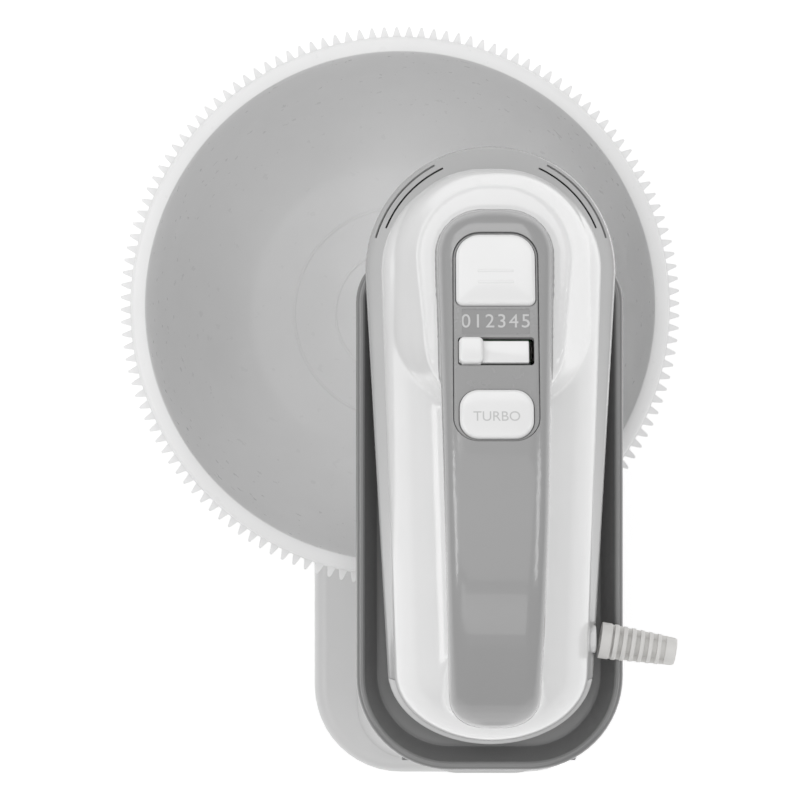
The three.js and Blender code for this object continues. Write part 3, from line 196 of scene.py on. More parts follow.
# ---------------------------------------------------------------- mesh helpers
def link(name, mesh):
    obj = bpy.data.objects.new(name, mesh)
    bpy.context.scene.collection.objects.link(obj)
    return obj


def mesh_object(name, points, faces):
    """A mesh from points in millimetres."""
    mesh = bpy.data.meshes.new(name)
    mesh.from_pydata([tuple(c * MM for c in p) for p in points], [], faces)
    mesh.validate()
    return link(name, mesh)


def loft(name, rings, cap_start=True, cap_end=True, closed=False):
    """A skin over rings of equal length, counterclockwise as seen from the last one back to the first."""
    count = len(rings[0])
    points = [p for ring in rings for p in ring]
    faces = []
    last = len(rings) if closed else len(rings) - 1
    for i in range(last):
        a, b = i * count, (i + 1) % len(rings) * count
        for j in range(count):
            k = (j + 1) % count
            faces.append((a + j, a + k, b + k, b + j))
    if cap_start and not closed:
        faces.append(tuple(reversed(range(count))))
    if cap_end and not closed:
        faces.append(tuple(range(len(points) - count, len(points))))
    return mesh_object(name, points, faces)


def lathe(name, profile, centre=(0, 0, 0), steps=192):
    """A turned solid about Z. The profile runs counterclockwise as seen with r to the right and z up."""
    points, faces, rings = [], [], []
    for r, z in profile:
        if r < 1e-6:
            rings.append([len(points)] * steps)
            points.append((centre[0], centre[1], centre[2] + z))
            continue
        rings.append([len(points) + i for i in range(steps)])
        for i in range(steps):
            a = 2 * math.pi * i / steps
            points.append((centre[0] + r * math.cos(a), centre[1] + r * math.sin(a), centre[2] + z))
    closed = profile[0][0] > 1e-6
    for i in range(len(rings) if closed else len(rings) - 1):
        a, b = rings[i], rings[(i + 1) % len(rings)]
        for j in range(steps):
            k = (j + 1) % steps
            corners = []
            for corner in (a[j], a[k], b[k], b[j]):
                if corner not in corners:
                    corners.append(corner)
            if len(corners) > 2:
                faces.append(tuple(corners))
    return mesh_object(name, points, faces)


def rounded_rect(left, right, rear, front, rear_r, front_r, steps=10):
    """Corner points, counterclockwise from the right rear corner."""
    points = []
    corners = (
        (right - rear_r, rear + rear_r, rear_r, -90),
        (right - front_r, front - front_r, front_r, 0),
        (left + front_r, front - front_r, front_r, 90),
        (left + rear_r, rear + rear_r, rear_r, 180),
    )
    for x, y, r, start in corners:
        for i in range(steps + 1):
            a = math.radians(start + 90 * i / steps)
            points.append((x + r * math.cos(a), y + r * math.sin(a)))
    return points


def edge_rings(outline, bottom, top, round_top, round_bottom=0.0, steps=5):
    """Rings of a plate whose outline(inset) is drawn smaller as its edges round over."""
    rings = []
    if round_bottom:
        for i in range(steps):
            a = math.pi / 2 * i / steps
            rings.append((round_bottom * (1 - math.sin(a)), bottom + round_bottom * (1 - math.cos(a))))
    rings.append((0, bottom + round_bottom))
    if round_top:
        for i in range(steps + 1):
            a = math.pi / 2 * i / steps
            rings.append((round_top * (1 - math.cos(a)), top - round_top * (1 - math.sin(a))))
    else:
        rings.append((0, top))
    return [[(x, y, z) for x, y in outline(inset)] for inset, z in rings]


def plate(name, outline, bottom, top, round_top=0.0, round_bottom=0.0, steps=5):
    return loft(name, edge_rings(outline, bottom, top, round_top, round_bottom, steps))


def cylinder(name, r, start, end, axis="Z", steps=64):
    """A plain round bar from start to end, used as a tool and for pins."""
    turns = {"X": Matrix.Rotation(math.pi / 2, 4, "Y"), "Z": Matrix()}
    length = (Vector(end) - Vector(start)).length
    angles = [2 * math.pi * i / steps for i in range(steps)]
    ring = [(r * math.cos(a), r * math.sin(a)) for a in angles]
    obj = loft(name, [[(x, y, 0) for x, y in ring], [(x, y, length) for x, y in ring]])
    obj.data.transform(Matrix.Translation(Vector(start) * MM) @ turns[axis])
    return obj


def box_tool(lo, hi):
    xs, ys, zs = zip(lo, hi)
    ring = [(xs[0], ys[0]), (xs[1], ys[0]), (xs[1], ys[1]), (xs[0], ys[1])]
    return loft("tool", [[(x, y, z) for x, y in ring] for z in zs])


def shifted(obj, offset):
    obj.data.transform(Matrix.Translation(Vector(offset) * MM))
    return obj


def bake(obj):
    """Replaces the mesh by what its modifiers make of it."""
    graph = bpy.context.evaluated_depsgraph_get()
    graph.update()
    mesh = bpy.data.meshes.new_from_object(obj.evaluated_get(graph))
    old = obj.data
    obj.modifiers.clear()
    obj.data = mesh
    bpy.data.meshes.remove(old)
    return obj


def boolean(obj, tools, operation="DIFFERENCE"):
    for tool in tools:
        cut = obj.modifiers.new("cut", "BOOLEAN")
        cut.object = tool
        cut.operation = operation
        cut.solver = "EXACT"
        bake(obj)
        bpy.data.objects.remove(tool)
    return obj


def joined(name, parts):
    """One object from several, as separate skins in one mesh."""
    work = bmesh.new()
    for part in parts:
        work.from_mesh(part.data)
        bpy.data.objects.remove(part)
    mesh = bpy.data.meshes.new(name)
    work.to_mesh(mesh)
    work.free()
    return link(name, mesh)


def outward(obj):
    work = bmesh.new()
    work.from_mesh(obj.data)
    bmesh.ops.remove_doubles(work, verts=work.verts, dist=1e-6)
    bmesh.ops.recalc_face_normals(work, faces=work.faces)
    work.to_mesh(obj.data)
    work.free()
    return obj


def smooth(obj, degrees=32):
    obj.data.shade_smooth()
    obj.data.set_sharp_from_angle(angle=math.radians(degrees))
    return obj


def piece(obj, body, finish, slot, *nodes, degrees=32):
    """Gives a finished object its finish, its body and the nodes it stands for."""
    obj.data.materials.clear()
    obj.data.materials.append(finish)
    smooth(obj, degrees)
    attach(obj, body)
    if nodes:
        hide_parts(*nodes)
    return obj


def between(rows, z):
    """The row at height z, run smoothly through rows of (height, ...)."""
    for i in range(len(rows) - 1):
        if rows[i][0] <= z <= rows[i + 1][0]:
            break
    before, start = rows[max(0, i - 1)], rows[i]
    end, after = rows[i + 1], rows[min(len(rows) - 1, i + 2)]
    span = end[0] - start[0]
    t = (z - start[0]) / span
    values = []
    for k in range(1, len(start)):
        slope_in = (end[k] - before[k]) / max(1e-6, end[0] - before[0]) * span
        slope_out = (after[k] - start[k]) / max(1e-6, after[0] - start[0]) * span
        values.append(
            (2 * t**3 - 3 * t**2 + 1) * start[k] + (t**3 - 2 * t**2 + t) * slope_in
            + (3 * t**2 - 2 * t**3) * end[k] + (t**3 - t**2) * slope_out
        )
    return values


# ---------------------------------------------------------------- repeats, by Geometry Nodes
def repeated(obj, count, finish, turn=0.0, step=(0.0, 0.0, 0.0), shrink=0.0):
    """Copies the mesh count times, each turned round Z, moved by step and shrunk from the last."""
    group = bpy.data.node_groups.new("repeat", "GeometryNodeTree")
    sockets = {}
    for name, kind in (
        ("Geometry", "NodeSocketGeometry"), ("Count", "NodeSocketInt"), ("Turn", "NodeSocketFloat"),
        ("Step", "NodeSocketVector"), ("Shrink", "NodeSocketFloat"), ("Finish", "NodeSocketMaterial"),
    ):
        sockets[name] = group.interface.new_socket(name, in_out="INPUT", socket_type=kind).identifier
    group.interface.new_socket("Geometry", in_out="OUTPUT", socket_type="NodeSocketGeometry")
    new, wire = group.nodes.new, group.links.new
    source, result = new("NodeGroupInput"), new("NodeGroupOutput")
    points, index = new("GeometryNodePoints"), new("GeometryNodeInputIndex")
    wire(source.outputs["Count"], points.inputs["Count"])
    angle = new("ShaderNodeMath")
    angle.operation = "MULTIPLY"
    wire(index.outputs[0], angle.inputs[0])
    wire(source.outputs["Turn"], angle.inputs[1])
    rotation = new("ShaderNodeCombineXYZ")
    wire(angle.outputs[0], rotation.inputs[2])
    place = new("ShaderNodeVectorMath")
    place.operation = "SCALE"
    wire(source.outputs["Step"], place.inputs[0])
    wire(index.outputs[0], place.inputs["Scale"])
    scale = new("ShaderNodeMath")
    scale.operation = "MULTIPLY_ADD"
    wire(index.outputs[0], scale.inputs[0])
    wire(source.outputs["Shrink"], scale.inputs[1])
    scale.inputs[2].default_value = 1.0
    spread = new("GeometryNodeSetPosition")
    wire(points.outputs[0], spread.inputs["Geometry"])
    wire(place.outputs[0], spread.inputs["Offset"])
    copies = new("GeometryNodeInstanceOnPoints")
    wire(spread.outputs[0], copies.inputs["Points"])
    wire(source.outputs["Geometry"], copies.inputs["Instance"])
    wire(rotation.outputs[0], copies.inputs["Rotation"])
    wire(scale.outputs[0], copies.inputs["Scale"])
    real, painted = new("GeometryNodeRealizeInstances"), new("GeometryNodeSetMaterial")
    wire(copies.outputs[0], real.inputs[0])
    wire(real.outputs[0], painted.inputs["Geometry"])
    wire(source.outputs["Finish"], painted.inputs["Material"])
    wire(painted.outputs[0], result.inputs[0])
    modifier = obj.modifiers.new("repeat", "NODES")
    modifier.node_group = group
    modifier[sockets["Count"]] = count
    modifier[sockets["Turn"]] = turn
    modifier[sockets["Step"]] = [c * MM for c in step]
    modifier[sockets["Shrink"]] = shrink
    modifier[sockets["Finish"]] = finish
    return bake(obj)


# ---------------------------------------------------------------- finishes
_finishes = {}


def finish_nodes(name):
    material = bpy.data.materials.new(name)
    material.use_nodes = True
    tree = material.node_tree
    shader = tree.nodes["Principled BSDF"]
    place = tree.nodes.new("ShaderNodeTexCoord")
    return material, tree, shader, place.outputs["Object"]


def noise(tree, place, scale, detail=3.0, stretch=(1.0, 1.0, 1.0)):
    mapping = tree.nodes.new("ShaderNodeMapping")
    mapping.inputs["Scale"].default_value = stretch
    texture = tree.nodes.new("ShaderNodeTexNoise")
    texture.inputs["Scale"].default_value = scale
    texture.inputs["Detail"].default_value = detail
    tree.links.new(place, mapping.inputs["Vector"])
    tree.links.new(mapping.outputs["Vector"], texture.inputs["Vector"])
    return texture.outputs["Fac"]


def ranged(tree, value, low_value, high_value):
    span = tree.nodes.new("ShaderNodeMapRange")
    span.inputs["From Min"].default_value = 0.3
    span.inputs["From Max"].default_value = 0.7
    span.inputs["To Min"].default_value = low_value
    span.inputs["To Max"].default_value = high_value
    tree.links.new(value, span.inputs["Value"])
    return span.outputs["Result"]


def shaded(tree, value, shade, amount):
    """A colour that wanders by amount either side of shade."""
    mix = tree.nodes.new("ShaderNodeMix")
    mix.data_type = "RGBA"
    mix.inputs["A"].default_value = (*[c * (1 - amount) for c in shade], 1)
    mix.inputs["B"].default_value = (*[min(1, c * (1 + amount)) for c in shade], 1)
    tree.links.new(ranged(tree, value, 0, 1), mix.inputs["Factor"])
    return mix.outputs["Result"]


def bumped(tree, shader, value, strength, distance=0.0002):
    bump = tree.nodes.new("ShaderNodeBump")
    bump.inputs["Strength"].default_value = strength
    bump.inputs["Distance"].default_value = distance
    tree.links.new(value, bump.inputs["Height"])
    tree.links.new(bump.outputs["Normal"], shader.inputs["Normal"])


def plastic(name, shade, roughness, coat=0.0, grain=0.008, grain_scale=1400):
    """Moulded plastic: an even colour, a faint mottle in its gloss and a fine grain."""
    if name in _finishes:
        return _finishes[name]
    material, tree, shader, place = finish_nodes(name)
    broad = noise(tree, place, 60)
    tree.links.new(shaded(tree, broad, shade, 0.012), shader.inputs["Base Color"])
    gloss = ranged(tree, noise(tree, place, 220), roughness * 0.9, roughness * 1.12)
    tree.links.new(gloss, shader.inputs["Roughness"])
    shader.inputs["IOR"].default_value = 1.5
    shader.inputs["Coat Weight"].default_value = coat
    shader.inputs["Coat Roughness"].default_value = 0.06
    if grain:
        bumped(tree, shader, noise(tree, place, grain_scale, 2), grain)
    _finishes[name] = material
    return material


def metal(name, shade, roughness, stretch=(1.0, 1.0, 1.0), grain=0.03):
    """Bare metal, ground along one way where stretch says so."""
    if name in _finishes:
        return _finishes[name]
    material, tree, shader, place = finish_nodes(name)
    lines = noise(tree, place, 500, 4, stretch)
    tree.links.new(shaded(tree, noise(tree, place, 90), shade, 0.05), shader.inputs["Base Color"])
    tree.links.new(ranged(tree, lines, roughness * 0.75, roughness * 1.3), shader.inputs["Roughness"])
    shader.inputs["Metallic"].default_value = 1.0
    bumped(tree, shader, lines, grain)
    _finishes[name] = material
    return material


def white():
    return plastic("white_gloss", colours().white, 0.16, coat=0.35)


def housing_grey():
    return plastic("housing_grey", colours().housing, 0.2, coat=0.3)


def handle_grey():
    return plastic("handle_grey", colours().handle, 0.2, coat=0.35)


def panel_grey():
    return plastic("panel_grey", colours().panel, 0.26, coat=0.1)


def cradle_grey():
    return plastic("cradle_grey", colours().cradle, 0.2, coat=0.3)


def stand_grey():
    return plastic("stand_grey", colours().stand, 0.32, grain=0.02)


def bowl_grey():
    return plastic("bowl_grey", colours().bowl, 0.3, grain=0)


def nylon():
    return plastic("natural_nylon", colours().nylon, 0.42, grain=0.05)


def chrome():
    return metal("polished_steel", (0.78, 0.78, 0.79), 0.09, grain=0.01)


def ground_steel():
    return metal("ground_steel", (0.6, 0.6, 0.61), 0.28, (1.0, 12.0, 1.0))


def frame_finish(slot):
    """The finish of a CAD node shown as it is, by its slot in the record."""
    makers = {
        "white_plastic": white, "housing_grey": housing_grey, "handle_grey": handle_grey,
        "cradle_grey": cradle_grey, "stand_grey": stand_grey, "bowl_grey": bowl_grey,
        "nylon": nylon, "bright_steel": chrome, "steel": ground_steel,
        "rubber": lambda: plastic("rubber", (0.03, 0.03, 0.03), 0.75, grain=0.2),
        "board": lambda: plastic("circuit_board", (0.05, 0.17, 0.07), 0.4, grain=0.1),
        "switch_black": lambda: plastic("switch_black", (0.025, 0.025, 0.025), 0.45),
        "carbon": lambda: plastic("carbon", (0.02, 0.02, 0.022), 0.6, grain=0.2),
        "lamination": lambda: metal("lamination", (0.32, 0.33, 0.35), 0.45, (1.0, 30.0, 1.0), 0.12),
        "copper": lambda: metal("copper_wire", (0.7, 0.33, 0.16), 0.3, (1.0, 25.0, 1.0), 0.15),
        "bronze": lambda: metal("sintered_bronze", (0.5, 0.36, 0.17), 0.42, grain=0.12),
    }
    return makers[slot]()


# ---------------------------------------------------------------- outlines
def bezier(points, steps):
    a, b, c, d = (Vector(p) for p in points)
    made = []
    for i in range(steps + 1):
        t = i / steps
        made.append(a * (1 - t) ** 3 + b * 3 * t * (1 - t) ** 2 + c * 3 * t * t * (1 - t) + d * t**3)
    return made


def arc(cx, cy, r, start, end, steps):
    """Points along an arc, with angles in degrees."""
    angles = [math.radians(start + (end - start) * i / steps) for i in range(steps + 1)]
    return [(cx + r * math.cos(a), cy + r * math.sin(a)) for a in angles]


def base_outline(inset):
    """Plan of the stand's base: a round plate under the bowl, run into a tongue under the column."""
    lo, hi = low("stand_base"), high("stand_base")
    disc = hi.y - BOWL.y - inset
    left, right, rear = middle("column").x - 73 + inset, hi.x - inset, lo.y + inset
    corner = 38 - inset
    tangent = 34
    right_join, left_join = math.radians(-12), math.radians(205)
    points = arc(left + corner, rear + corner, corner, 180, 270, 12)
    points += arc(right - corner, rear + corner, corner, 270, 360, 12)
    end = Vector((disc * math.cos(right_join), BOWL.y + disc * math.sin(right_join)))
    bend = (
        (right, BOWL.y - 75), (right, BOWL.y - 50),
        (end.x - tangent * 0.4 * math.sin(right_join), end.y - tangent * 0.5), end,
    )
    points += [tuple(p) for p in bezier(bend, 12)]
    points += arc(0, BOWL.y, disc, -12, 205, 96)[1:]
    end = Vector((disc * math.cos(left_join), BOWL.y + disc * math.sin(left_join)))
    bend = (
        end, (end.x - tangent * math.sin(left_join), end.y + tangent * math.cos(left_join)),
        (left, BOWL.y - 80), (left, BOWL.y - 112),
    )
    points += [tuple(p) for p in bezier(bend, 12)][1:]
    return points


def arm_outline(inset):
    left, right = MIXER.x - 52.5, MIXER.x + 52.5
    rear, front = low("cradle_tray").y, high("cradle_tray").y
    return rounded_rect(
        left + inset, right - inset, rear + inset, front - inset, 37 - inset, 20 - inset, 16
    )


def body_outline(inset, nose=None, tail=None):
    """Plan of the mixer about its own origin: a half-round nose and a half-oval tail."""
    nose_in = inset if nose is None else nose
    tail_in = inset if tail is None else tail
    tail_half = sizes().tail_half - tail_in
    tail_length = max(0.5, TAIL_LENGTH - tail_in)
    points = []
    for i in range(65):
        a = math.pi * i / 64
        points.append(((NOSE_HALF - inset) * math.cos(a), (NOSE_HALF - nose_in) * math.sin(a)))
    sides = 24
    for i in range(1, sides):
        t = i / sides
        points.append((-(NOSE_HALF - inset) * (1 - t) - tail_half * t, TAIL_Y * t))
    for i in range(49):
        a = math.pi * (1 + i / 48)
        points.append((tail_half * math.cos(a), TAIL_Y + tail_length * math.sin(a)))
    for i in range(1, sides):
        t = 1 - i / sides
        points.append(((NOSE_HALF - inset) * (1 - t) + tail_half * t, TAIL_Y * t))
    return points


SHOULDER = {"side": 6.2, "nose": 9.5, "tail": 2.6}
LOWER_ROWS = [(0, 9), (2.5, 4.5), (8, 1.6), (16, 0.3), (24, 0), (28, 0.9)]


def lower_rings(wall=0.0, grow=0.0):
    """Rings of the lower body from its flat bottom to the shoulder, inset by wall and grown by grow."""
    rings = []
    heights = [0, 0.3, 0.7, 1.2, 1.8, 2.5, 3.6, 5, 6.5, 8, 10, 12, 14, 16, 18, 20, 22, 24, 25, 26, 27, 28]
    for z in heights:
        if z < wall:
            continue
        inset = between(LOWER_ROWS, z)[0]
        if z < 2.5:
            inset = 9 - 4.5 * math.sin(math.acos(1 - z / 2.5))
        rings.append((z, inset, inset, inset))
    for t in (0.06, 0.14, 0.3, 0.6, 1.0):
        z = 28 + (SHOULDER_Z - 28) * t**1.15
        rings.append((z, *[0.9 + (SHOULDER[k] - 0.9) * t for k in ("side", "nose", "tail")]))
    change = wall - grow
    return [
        [(x, y, z) for x, y in body_outline(s + change, n + change, t + change)] for z, s, n, t in rings
    ]


def handle_top(y):
    """Height of the handle's top line: the tilted panel, then a curve over the grip down to the tail."""
    slope = math.tan(PANEL_TILT)
    over_panel = PANEL_Z + PANEL_THICK * 0.4
    bend = PANEL_Y - PANEL_LENGTH / 2 * math.cos(PANEL_TILT) - 2
    if y > bend:
        return over_panel - (y - PANEL_Y) * slope
    t = (bend - y) / (bend - HANDLE_REAR)
    return over_panel - (bend - PANEL_Y) * slope + slope * (bend - y) - 66 * t * t


def handle_half(y):
    """Half the handle's width, with its rounded ends."""
    front, rear = sizes().handle_half_front, sizes().handle_half_rear
    t = (HANDLE_FRONT - y) / (HANDLE_FRONT - HANDLE_REAR)
    half = front + (rear - front) * t
    front_r, rear_r = 17, 12
    if y > HANDLE_FRONT - front_r:
        away = y - (HANDLE_FRONT - front_r)
        half -= front_r - math.sqrt(max(0, front_r**2 - away**2))
    if y < HANDLE_REAR + rear_r:
        away = HANDLE_REAR + rear_r - y
        half -= rear_r - math.sqrt(max(0, rear_r**2 - away**2))
    return half


def handle_skin():
    """The grip and the dome's top as one closed loft along Y."""
    stations = [20.95, 20.6, 20, 19, 17.6, 16, 14, 11.5, 9, 6, 3, 0] + list(range(-5, -160, -5))
    stations += [-160, -163, -166, -168.5, -170.4, -171.8, -172.6, -172.95]
    rings = []
    for y in stations:
        half = handle_half(y)
        top = handle_top(y)
        if y > HANDLE_FRONT - 7:
            top -= 6 * (1 - math.sqrt(1 - ((y - HANDLE_FRONT + 7) / 7.05) ** 2))
        if y < HANDLE_REAR + 14:
            top -= 7 * (1 - math.sqrt(1 - ((HANDLE_REAR + 14 - y) / 14.05) ** 2))
        bottom = handle_top(y) - GRIP_THICK
        top_r, bottom_r = min(7, half * 0.9), min(9, half * 0.9)
        ring = []
        for x, z in rounded_rect(-half, half, bottom, top, bottom_r, top_r, 10):
            crown = 0.8 * (1 - (x / half) ** 2) if z > top - 1 else 0
            ring.append((x, y, z + crown - 0.8 * (z > top - 1)))
        rings.append(ring)
    return outward(loft("grip", rings))


NECK_ROWS = [
    (40, 40, 39, -58), (55, 36.5, 36, -57), (70, 31.5, 30, -55), (84, 27, 24.5, -54), (98, 23.5, 22, -54)
]


def section(half, front, rear, corner, steps=12):
    r = min(half, (front - rear) / 2) * 2 * corner
    return rounded_rect(-half, half, rear, front, r - 0.01, r - 0.01, steps)


def neck_skin():
    rings = []
    for i in range(20):
        z = 40 + 58 * i / 19
        half, front, rear = between(NECK_ROWS, z)
        rings.append([(x, y, z) for x, y in section(half, front, rear, 0.46)])
    return loft("neck", rings)


def pillar_skin():
    """The grip's rear leg, between the body and the handle."""
    rings = []
    for i in range(10):
        t = i / 9
        front = FINGERS_REAR - 1 + 5 * (2 * t - 1) ** 2
        half = 21 - 6 * t
        z = 52 + 26 * t
        rings.append([(x, y, z) for x, y in section(half, front, HANDLE_REAR + 1.5, 0.4)])
    return loft("pillar", rings)


def upper_skin():
    """The white body over the shoulder, run straight down below it for a clean cut."""
    rings = []
    for i in range(17):
        a = math.pi / 2 * i / 16
        inset = 27 * (1 - math.cos(a))
        z = SHOULDER_Z + (BODY_TOP - SHOULDER_Z) * math.sin(a)
        rings.append((z, inset))
    rings.insert(0, (SHOULDER_Z - 12, 0))
    made = []
    for z, inset in rings:
        outline = body_outline(
            SHOULDER["side"] + inset, SHOULDER["nose"] + inset, SHOULDER["tail"] + inset
        )
        made.append([(x, y, z) for x, y in outline])
    return loft("upper", made)


def split_height(y, drop=0.0):
    """Height of the line where the cover meets the grip, lowered by drop."""
    return handle_top(max(HANDLE_REAR, y)) - (sizes().cover_depth + drop)


def split_tool(drop):
    """Everything over the split line, lowered by drop."""
    front, rear = HANDLE_FRONT + 30, HANDLE_REAR - 20
    steps = 80
    line = [front + (rear - front) * i / steps for i in range(steps + 1)]
    rings = []
    for y in line:
        z = split_height(y, drop)
        rings.append([(-70, y, z), (70, y, z), (70, y, 200), (-70, y, 200)])
    return outward(loft("tool", rings))


def cord_hole():
    return cylinder("tool", CORD_HOLE_R, (20, CORD_Y, CORD_Z), (99, CORD_Y, CORD_Z), "X", 40)


def remeshed(obj, voxel, rounds):
    """Melts overlapping skins into one smooth closed skin."""
    melt = obj.modifiers.new("melt", "REMESH")
    melt.mode = "VOXEL"
    melt.voxel_size = voxel * MM
    even = obj.modifiers.new("even", "SMOOTH")
    even.factor = 0.5
    even.iterations = rounds
    return bake(obj)


def opened(obj, test):
    """Removes the faces whose middle, in millimetres, passes the test."""
    work = bmesh.new()
    work.from_mesh(obj.data)
    gone = [f for f in work.faces if test(f.calc_center_median() / MM, f.normal)]
    if not gone:
        raise RuntimeError(obj.name + " has no face to open")
    bmesh.ops.delete(work, geom=gone, context="FACES")
    work.to_mesh(obj.data)
    work.free()
    return obj


def thickened(obj, wall):
    """Gives an open skin its wall, inwards."""
    solid = obj.modifiers.new("wall", "SOLIDIFY")
    solid.thickness = wall * MM
    solid.offset = -1
    solid.use_even_offset = False
    solid.use_rim = True
    return bake(obj)


PANEL_PLACE = Matrix.Translation(Vector((0, PANEL_Y, PANEL_Z)) * MM)
PANEL_FRAME = PANEL_PLACE @ Matrix.Rotation(-PANEL_TILT, 4, "X")


def on_panel(obj):
    """Moves a mesh drawn in the panel's own plane onto the mixer."""
    obj.data.transform(Matrix.Translation(MIXER * MM) @ PANEL_FRAME)
    return obj


def on_mixer(obj):
    return shifted(obj, MIXER)


def panel_outline(grow=0.0):
    half, length = 15.6 + grow, PANEL_LENGTH / 2 + grow
    return rounded_rect(-half, half, -length, length, 9 + grow, 10 + grow, 12)


EJECTOR = {"half": 14.6, "front": 39.3, "rear": 11.7}
SLOT = {"half": 14.0, "front": -0.5, "rear": -11.4}
TURBO = {"half": 13.5, "front": -21.0, "rear": -39.6}


def tooth_half(module):
    """Half a tooth's width on the pitch circle."""
    return (math.pi * module / 2 - TOOTH_PLAY) / 2


def both_flanks(flank):
    return [(r, -h) for r, h in flank] + [(r, h) for r, h in reversed(flank)]


def ejector_outline(grow=0.0):
    return rounded_rect(
        -EJECTOR["half"] - grow, EJECTOR["half"] + grow, EJECTOR["rear"] - grow, EJECTOR["front"] + grow,
        max(0.8, 2.5 + grow), max(0.8, 9 + grow), 12,
    )


def turbo_outline(grow=0.0):
    corner = max(0.5, 7 + grow)
    return rounded_rect(
        -TURBO["half"] - grow, TURBO["half"] + grow, TURBO["rear"] - grow, TURBO["front"] + grow,
        corner, corner, 12,
    )


def slot_outline(grow=0.0):
    return rounded_rect(
        -SLOT["half"] - grow, SLOT["half"] + grow, SLOT["rear"] - grow, SLOT["front"] + grow, 1.2, 1.2, 6
    )


def lettering(name, text, height, thick):
    """Letters as a mesh about the origin, standing up from z = 0, with their middle at the origin."""
    curve = bpy.data.curves.new(name, "FONT")
    curve.body = text
    curve.size = height * MM * 1.38
    curve.extrude = thick * MM / 2
    curve.align_x = "CENTER"
    curve.align_y = "CENTER"
    curve.resolution_u = 6
    source = link(name + "_curve", curve)
    graph = bpy.context.evaluated_depsgraph_get()
    graph.update()
    mesh = bpy.data.meshes.new_from_object(source.evaluated_get(graph))
    bpy.data.objects.remove(source)
    mesh.transform(Matrix.Translation((0, 0, thick * MM / 2)))
    return link(name, mesh)


# ---------------------------------------------------------------- operators
class HM_OT_bowl(bpy.types.Operator):
    """Makes the bowl, its rim of teeth and the turntable under it"""

    bl_idname = "hand_mixer.bowl"
    bl_label = "Bowl"
    bl_options = {"REGISTER"}

    def execute(self, context):
        s = sizes()
        pitch = s.gear_module * s.bowl_teeth / 2
        root = pitch - 1.5 * s.gear_module
        lip = root - 0.6
        mouth = lip - s.rim_width + 0.4
        floor_z = low("bowl").z + 0.4 + 1.1 + s.bowl_wall + 0.05
        inner = bezier(
            [(62, floor_z), (82, floor_z), (mouth - 8, floor_z + 34), (mouth - 3, floor_z + 68)], 28
        )
        floor = [
            (0, floor_z + 0.5), (8, floor_z + 0.5), (8.6, floor_z), (27.6, floor_z), (28, floor_z + 0.35)
        ]
        floor += [
            (28.6, floor_z + 0.35), (29, floor_z), (45.6, floor_z), (46, floor_z + 0.35),
            (46.6, floor_z + 0.35)
        ]
        floor += [(47, floor_z)]
        outer = []
        for i, p in enumerate(inner):
            before, after = inner[max(0, i - 1)], inner[min(len(inner) - 1, i + 1)]
            along = (after - before).normalized()
            outer.append((p.x + along.y * s.bowl_wall, p.y - along.x * s.bowl_wall))
        under = floor_z - s.bowl_wall
        foot_z = low("bowl").z
        profile = [
            (0, under), (53, under), (53, foot_z + 0.3), (53.3, foot_z), (55.7, foot_z),
            (56, foot_z + 0.3)
        ]
        profile += [(56, under)] + outer
        profile += [
            (mouth + s.bowl_wall - 0.3, RIM_Z - 14), (mouth + s.bowl_wall, GEAR_LOW - 1.5),
            (mouth + s.bowl_wall, GEAR_LOW), (root, GEAR_LOW), (root, GEAR_TOP), (lip, GEAR_TOP + 0.02),
            (lip, RIM_Z - 1.4), (lip - 0.4, RIM_Z - 0.5), (lip - 1.3, RIM_Z), (mouth + 1.5, RIM_Z),
            (mouth + 0.5, RIM_Z - 0.4), (mouth + 0.1, RIM_Z - 1.3), (mouth - 0.2, RIM_Z - 8),
        ]
        profile += [(p.x, p.y) for p in reversed(inner)] + list(reversed(floor))
        shell = lathe("bowl_shell", profile, BOWL, 256)
        half = tooth_half(s.gear_module)
        flank = [
            (root - 0.6, half + 0.8), (root + 0.7, half + 0.5), (pitch - 0.9, half + 0.25), (pitch, half),
            (pitch + 0.9, half - 0.32), (pitch + 1.35, half - 0.52), (pitch + 1.55, half - 0.8),
        ]
        outline = both_flanks(flank)
        chamfered = [(min(r, pitch + 1.1), h * 0.94) for r, h in outline]
        tooth = loft("tooth", [
            [(r, h, GEAR_LOW) for r, h in outline], [(r, h, GEAR_TOP - 0.4) for r, h in outline],
            [(r, h, GEAR_TOP) for r, h in chamfered],
        ])
        phase = math.atan2(middle("bowl_pinion").y - BOWL.y, middle("bowl_pinion").x)
        ring = repeated(tooth, s.bowl_teeth, bowl_grey(), turn=2 * math.pi / s.bowl_teeth)
        ring.data.transform(Matrix.Translation(BOWL * MM) @ Matrix.Rotation(phase, 4, "Z"))
        piece(
            joined("bowl_fine", [shell, ring]), "turning_bowl", bowl_grey(), "bowl_grey", "bowl",
            degrees=38
        )
        z0, z1 = low("turntable").z, high("turntable").z
        deck = z1 - 1.5
        r = high("turntable").x
        under_z = deck - 3
        plate_profile = [
            (0, z0), (5.2, z0), (6, z0 + 0.8), (6, under_z), (r - 0.5, under_z), (r, under_z + 0.5),
            (r, z1 - 0.4),
            (r - 0.4, z1), (r - 1.6, z1), (r - 2, z1 - 0.4), (r - 2, deck), (0, deck),
        ]
        table = lathe("turntable_fine", plate_profile, BOWL, 160)
        piece(table, "turning_bowl", stand_grey(), "stand_grey", "turntable")
        return {"FINISHED"}


